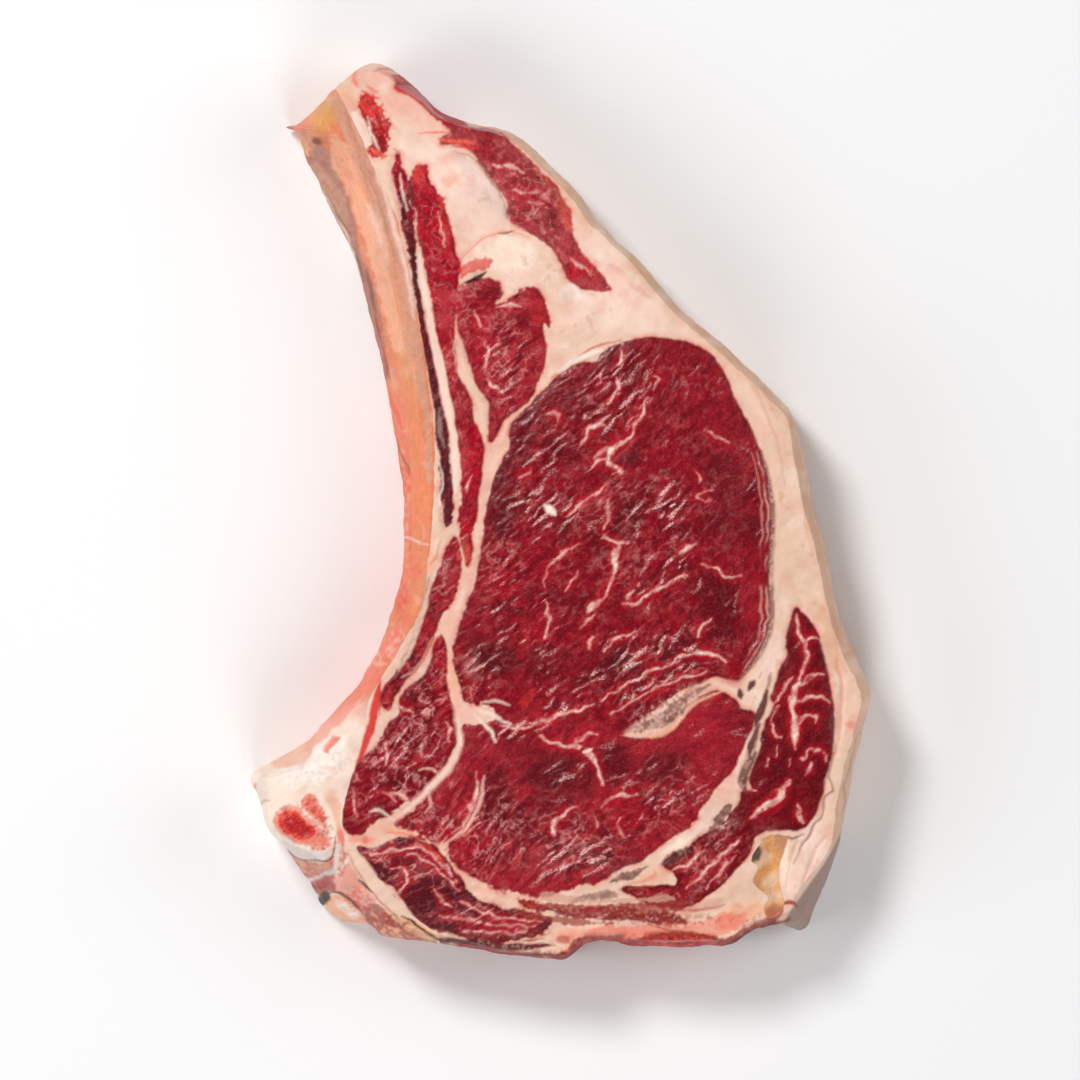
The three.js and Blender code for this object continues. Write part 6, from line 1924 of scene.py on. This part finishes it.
def paint_mesh(mesh, place, slot):
    """Stores the colour, the grain, the roughness and the painted sheen of the glints at each vertex."""
    x, y, z = place.T
    canvas = SOFT_CANVAS if slot in SOFT_SLOTS else HARD_CANVAS
    seen = np.column_stack([sample(canvas, x, y), np.ones(len(x))])
    set_attribute(mesh, "paint", "FLOAT_COLOR", "color", seen)
    grain = np.column_stack([sample(ALONG, x, y), sample(ACROSS, x, y), z])
    set_attribute(mesh, "grain", "FLOAT_VECTOR", "vector", grain)
    set_attribute(mesh, "rough", "FLOAT", "value", sample(ROUGH, x, y))
    set_attribute(mesh, "sheen", "FLOAT", "value", sample(SHEEN, x, y))


def finish_piece(thing, name, node_name, slot):
    """Paints a cut piece, moves it into the frame, gives it its material, hangs it under the root and
    hides the part that it stands for.
    """
    mesh = thing.data
    place = np.empty(3 * len(mesh.vertices), np.float32)
    mesh.vertices.foreach_get("co", place)
    place = place.reshape(-1, 3).astype(float)
    paint_mesh(mesh, place, slot)
    place[:, 0] += FRAME_SHIFT[0]
    place[:, 1] += FRAME_SHIFT[1]
    mesh.vertices.foreach_set("co", (place * MM).astype(np.float32).ravel())
    mesh.polygons.foreach_set("use_smooth", np.ones(len(mesh.polygons), bool))
    mesh.set_sharp_from_angle(angle=math.radians(SHARP_DEGREES))
    mesh.materials.clear()
    mesh.materials.append(MATERIALS[slot])
    mesh.update()
    thing.name = name
    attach(thing, "root")
    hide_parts(node_name)


for thing, piece_name, node_name, slot in build():
    finish_piece(thing, piece_name, node_name, slot)

# Floor, light and camera, in metres

FLOOR_HALF = 3.0
# Lights: name, place, size, power
LIGHTS = [
    ("key", (-0.60, 0.74, 1.25), 0.42, 14.0),
    ("right", (1.15, 0.25, 0.95), 1.0, 6.0),
    ("front", (0.1, -1.25, 0.9), 1.0, 8.0),
    ("left", (-1.25, -0.35, 0.8), 1.0, 7.0),
]
CAMERA_HEIGHT = 2.0
VIEW_WIDTH = 0.324
# The middle of the photo, in millimetres
VIEW_MIDDLE = (-6.3, -8.7)
SENSOR_WIDTH = 36.0


def area_light(name, place, size, power):
    """A round soft light that shines at the middle of the frame."""
    data = bpy.data.lights.new(name, "AREA")
    data.shape = "DISK"
    data.size = size
    data.energy = power
    light = bpy.data.objects.new(name, data)
    light.location = place
    bpy.context.scene.collection.objects.link(light)
    aim = -light.location.normalized()
    light.rotation_euler = aim.to_track_quat("-Z", "Y").to_euler()


def floor():
    """A pale board without shine."""
    mesh = bpy.data.meshes.new("floor")
    side = FLOOR_HALF
    corners = [(-side, -side, 0), (side, -side, 0), (side, side, 0), (-side, side, 0)]
    mesh.from_pydata(corners, [], [(0, 1, 2, 3)])
    material = bpy.data.materials.new("floor")
    material.use_nodes = True
    shader = material.node_tree.nodes["Principled BSDF"]
    shader.inputs["Base Color"].default_value = (0.93, 0.93, 0.93, 1)
    shader.inputs["Roughness"].default_value = 0.9
    mesh.materials.append(material)
    thing = object_of(mesh)


def soft_world():
    """A weak white light from all round."""
    world = bpy.data.worlds.new("world")
    world.use_nodes = True
    background = world.node_tree.nodes["Background"]
    background.inputs["Color"].default_value = (1, 1, 1, 1)
    background.inputs["Strength"].default_value = 0.10
    bpy.context.scene.world = world


def top_camera():
    """The camera of the photo, straight above."""
    data = bpy.data.cameras.new("camera")
    data.sensor_width = SENSOR_WIDTH
    data.lens = SENSOR_WIDTH * (CAMERA_HEIGHT - THICKNESS * MM) / VIEW_WIDTH
    data.clip_end = 20.0
    camera = bpy.data.objects.new("camera", data)
    middle_x = (VIEW_MIDDLE[0] + FRAME_SHIFT[0]) * MM
    middle_y = (VIEW_MIDDLE[1] + FRAME_SHIFT[1]) * MM
    camera.location = (middle_x, middle_y, CAMERA_HEIGHT)
    bpy.context.scene.collection.objects.link(camera)
    bpy.context.scene.camera = camera


floor()
for light in LIGHTS:
    area_light(*light)
soft_world()
top_camera()
bpy.context.scene.view_settings.view_transform = "Standard"
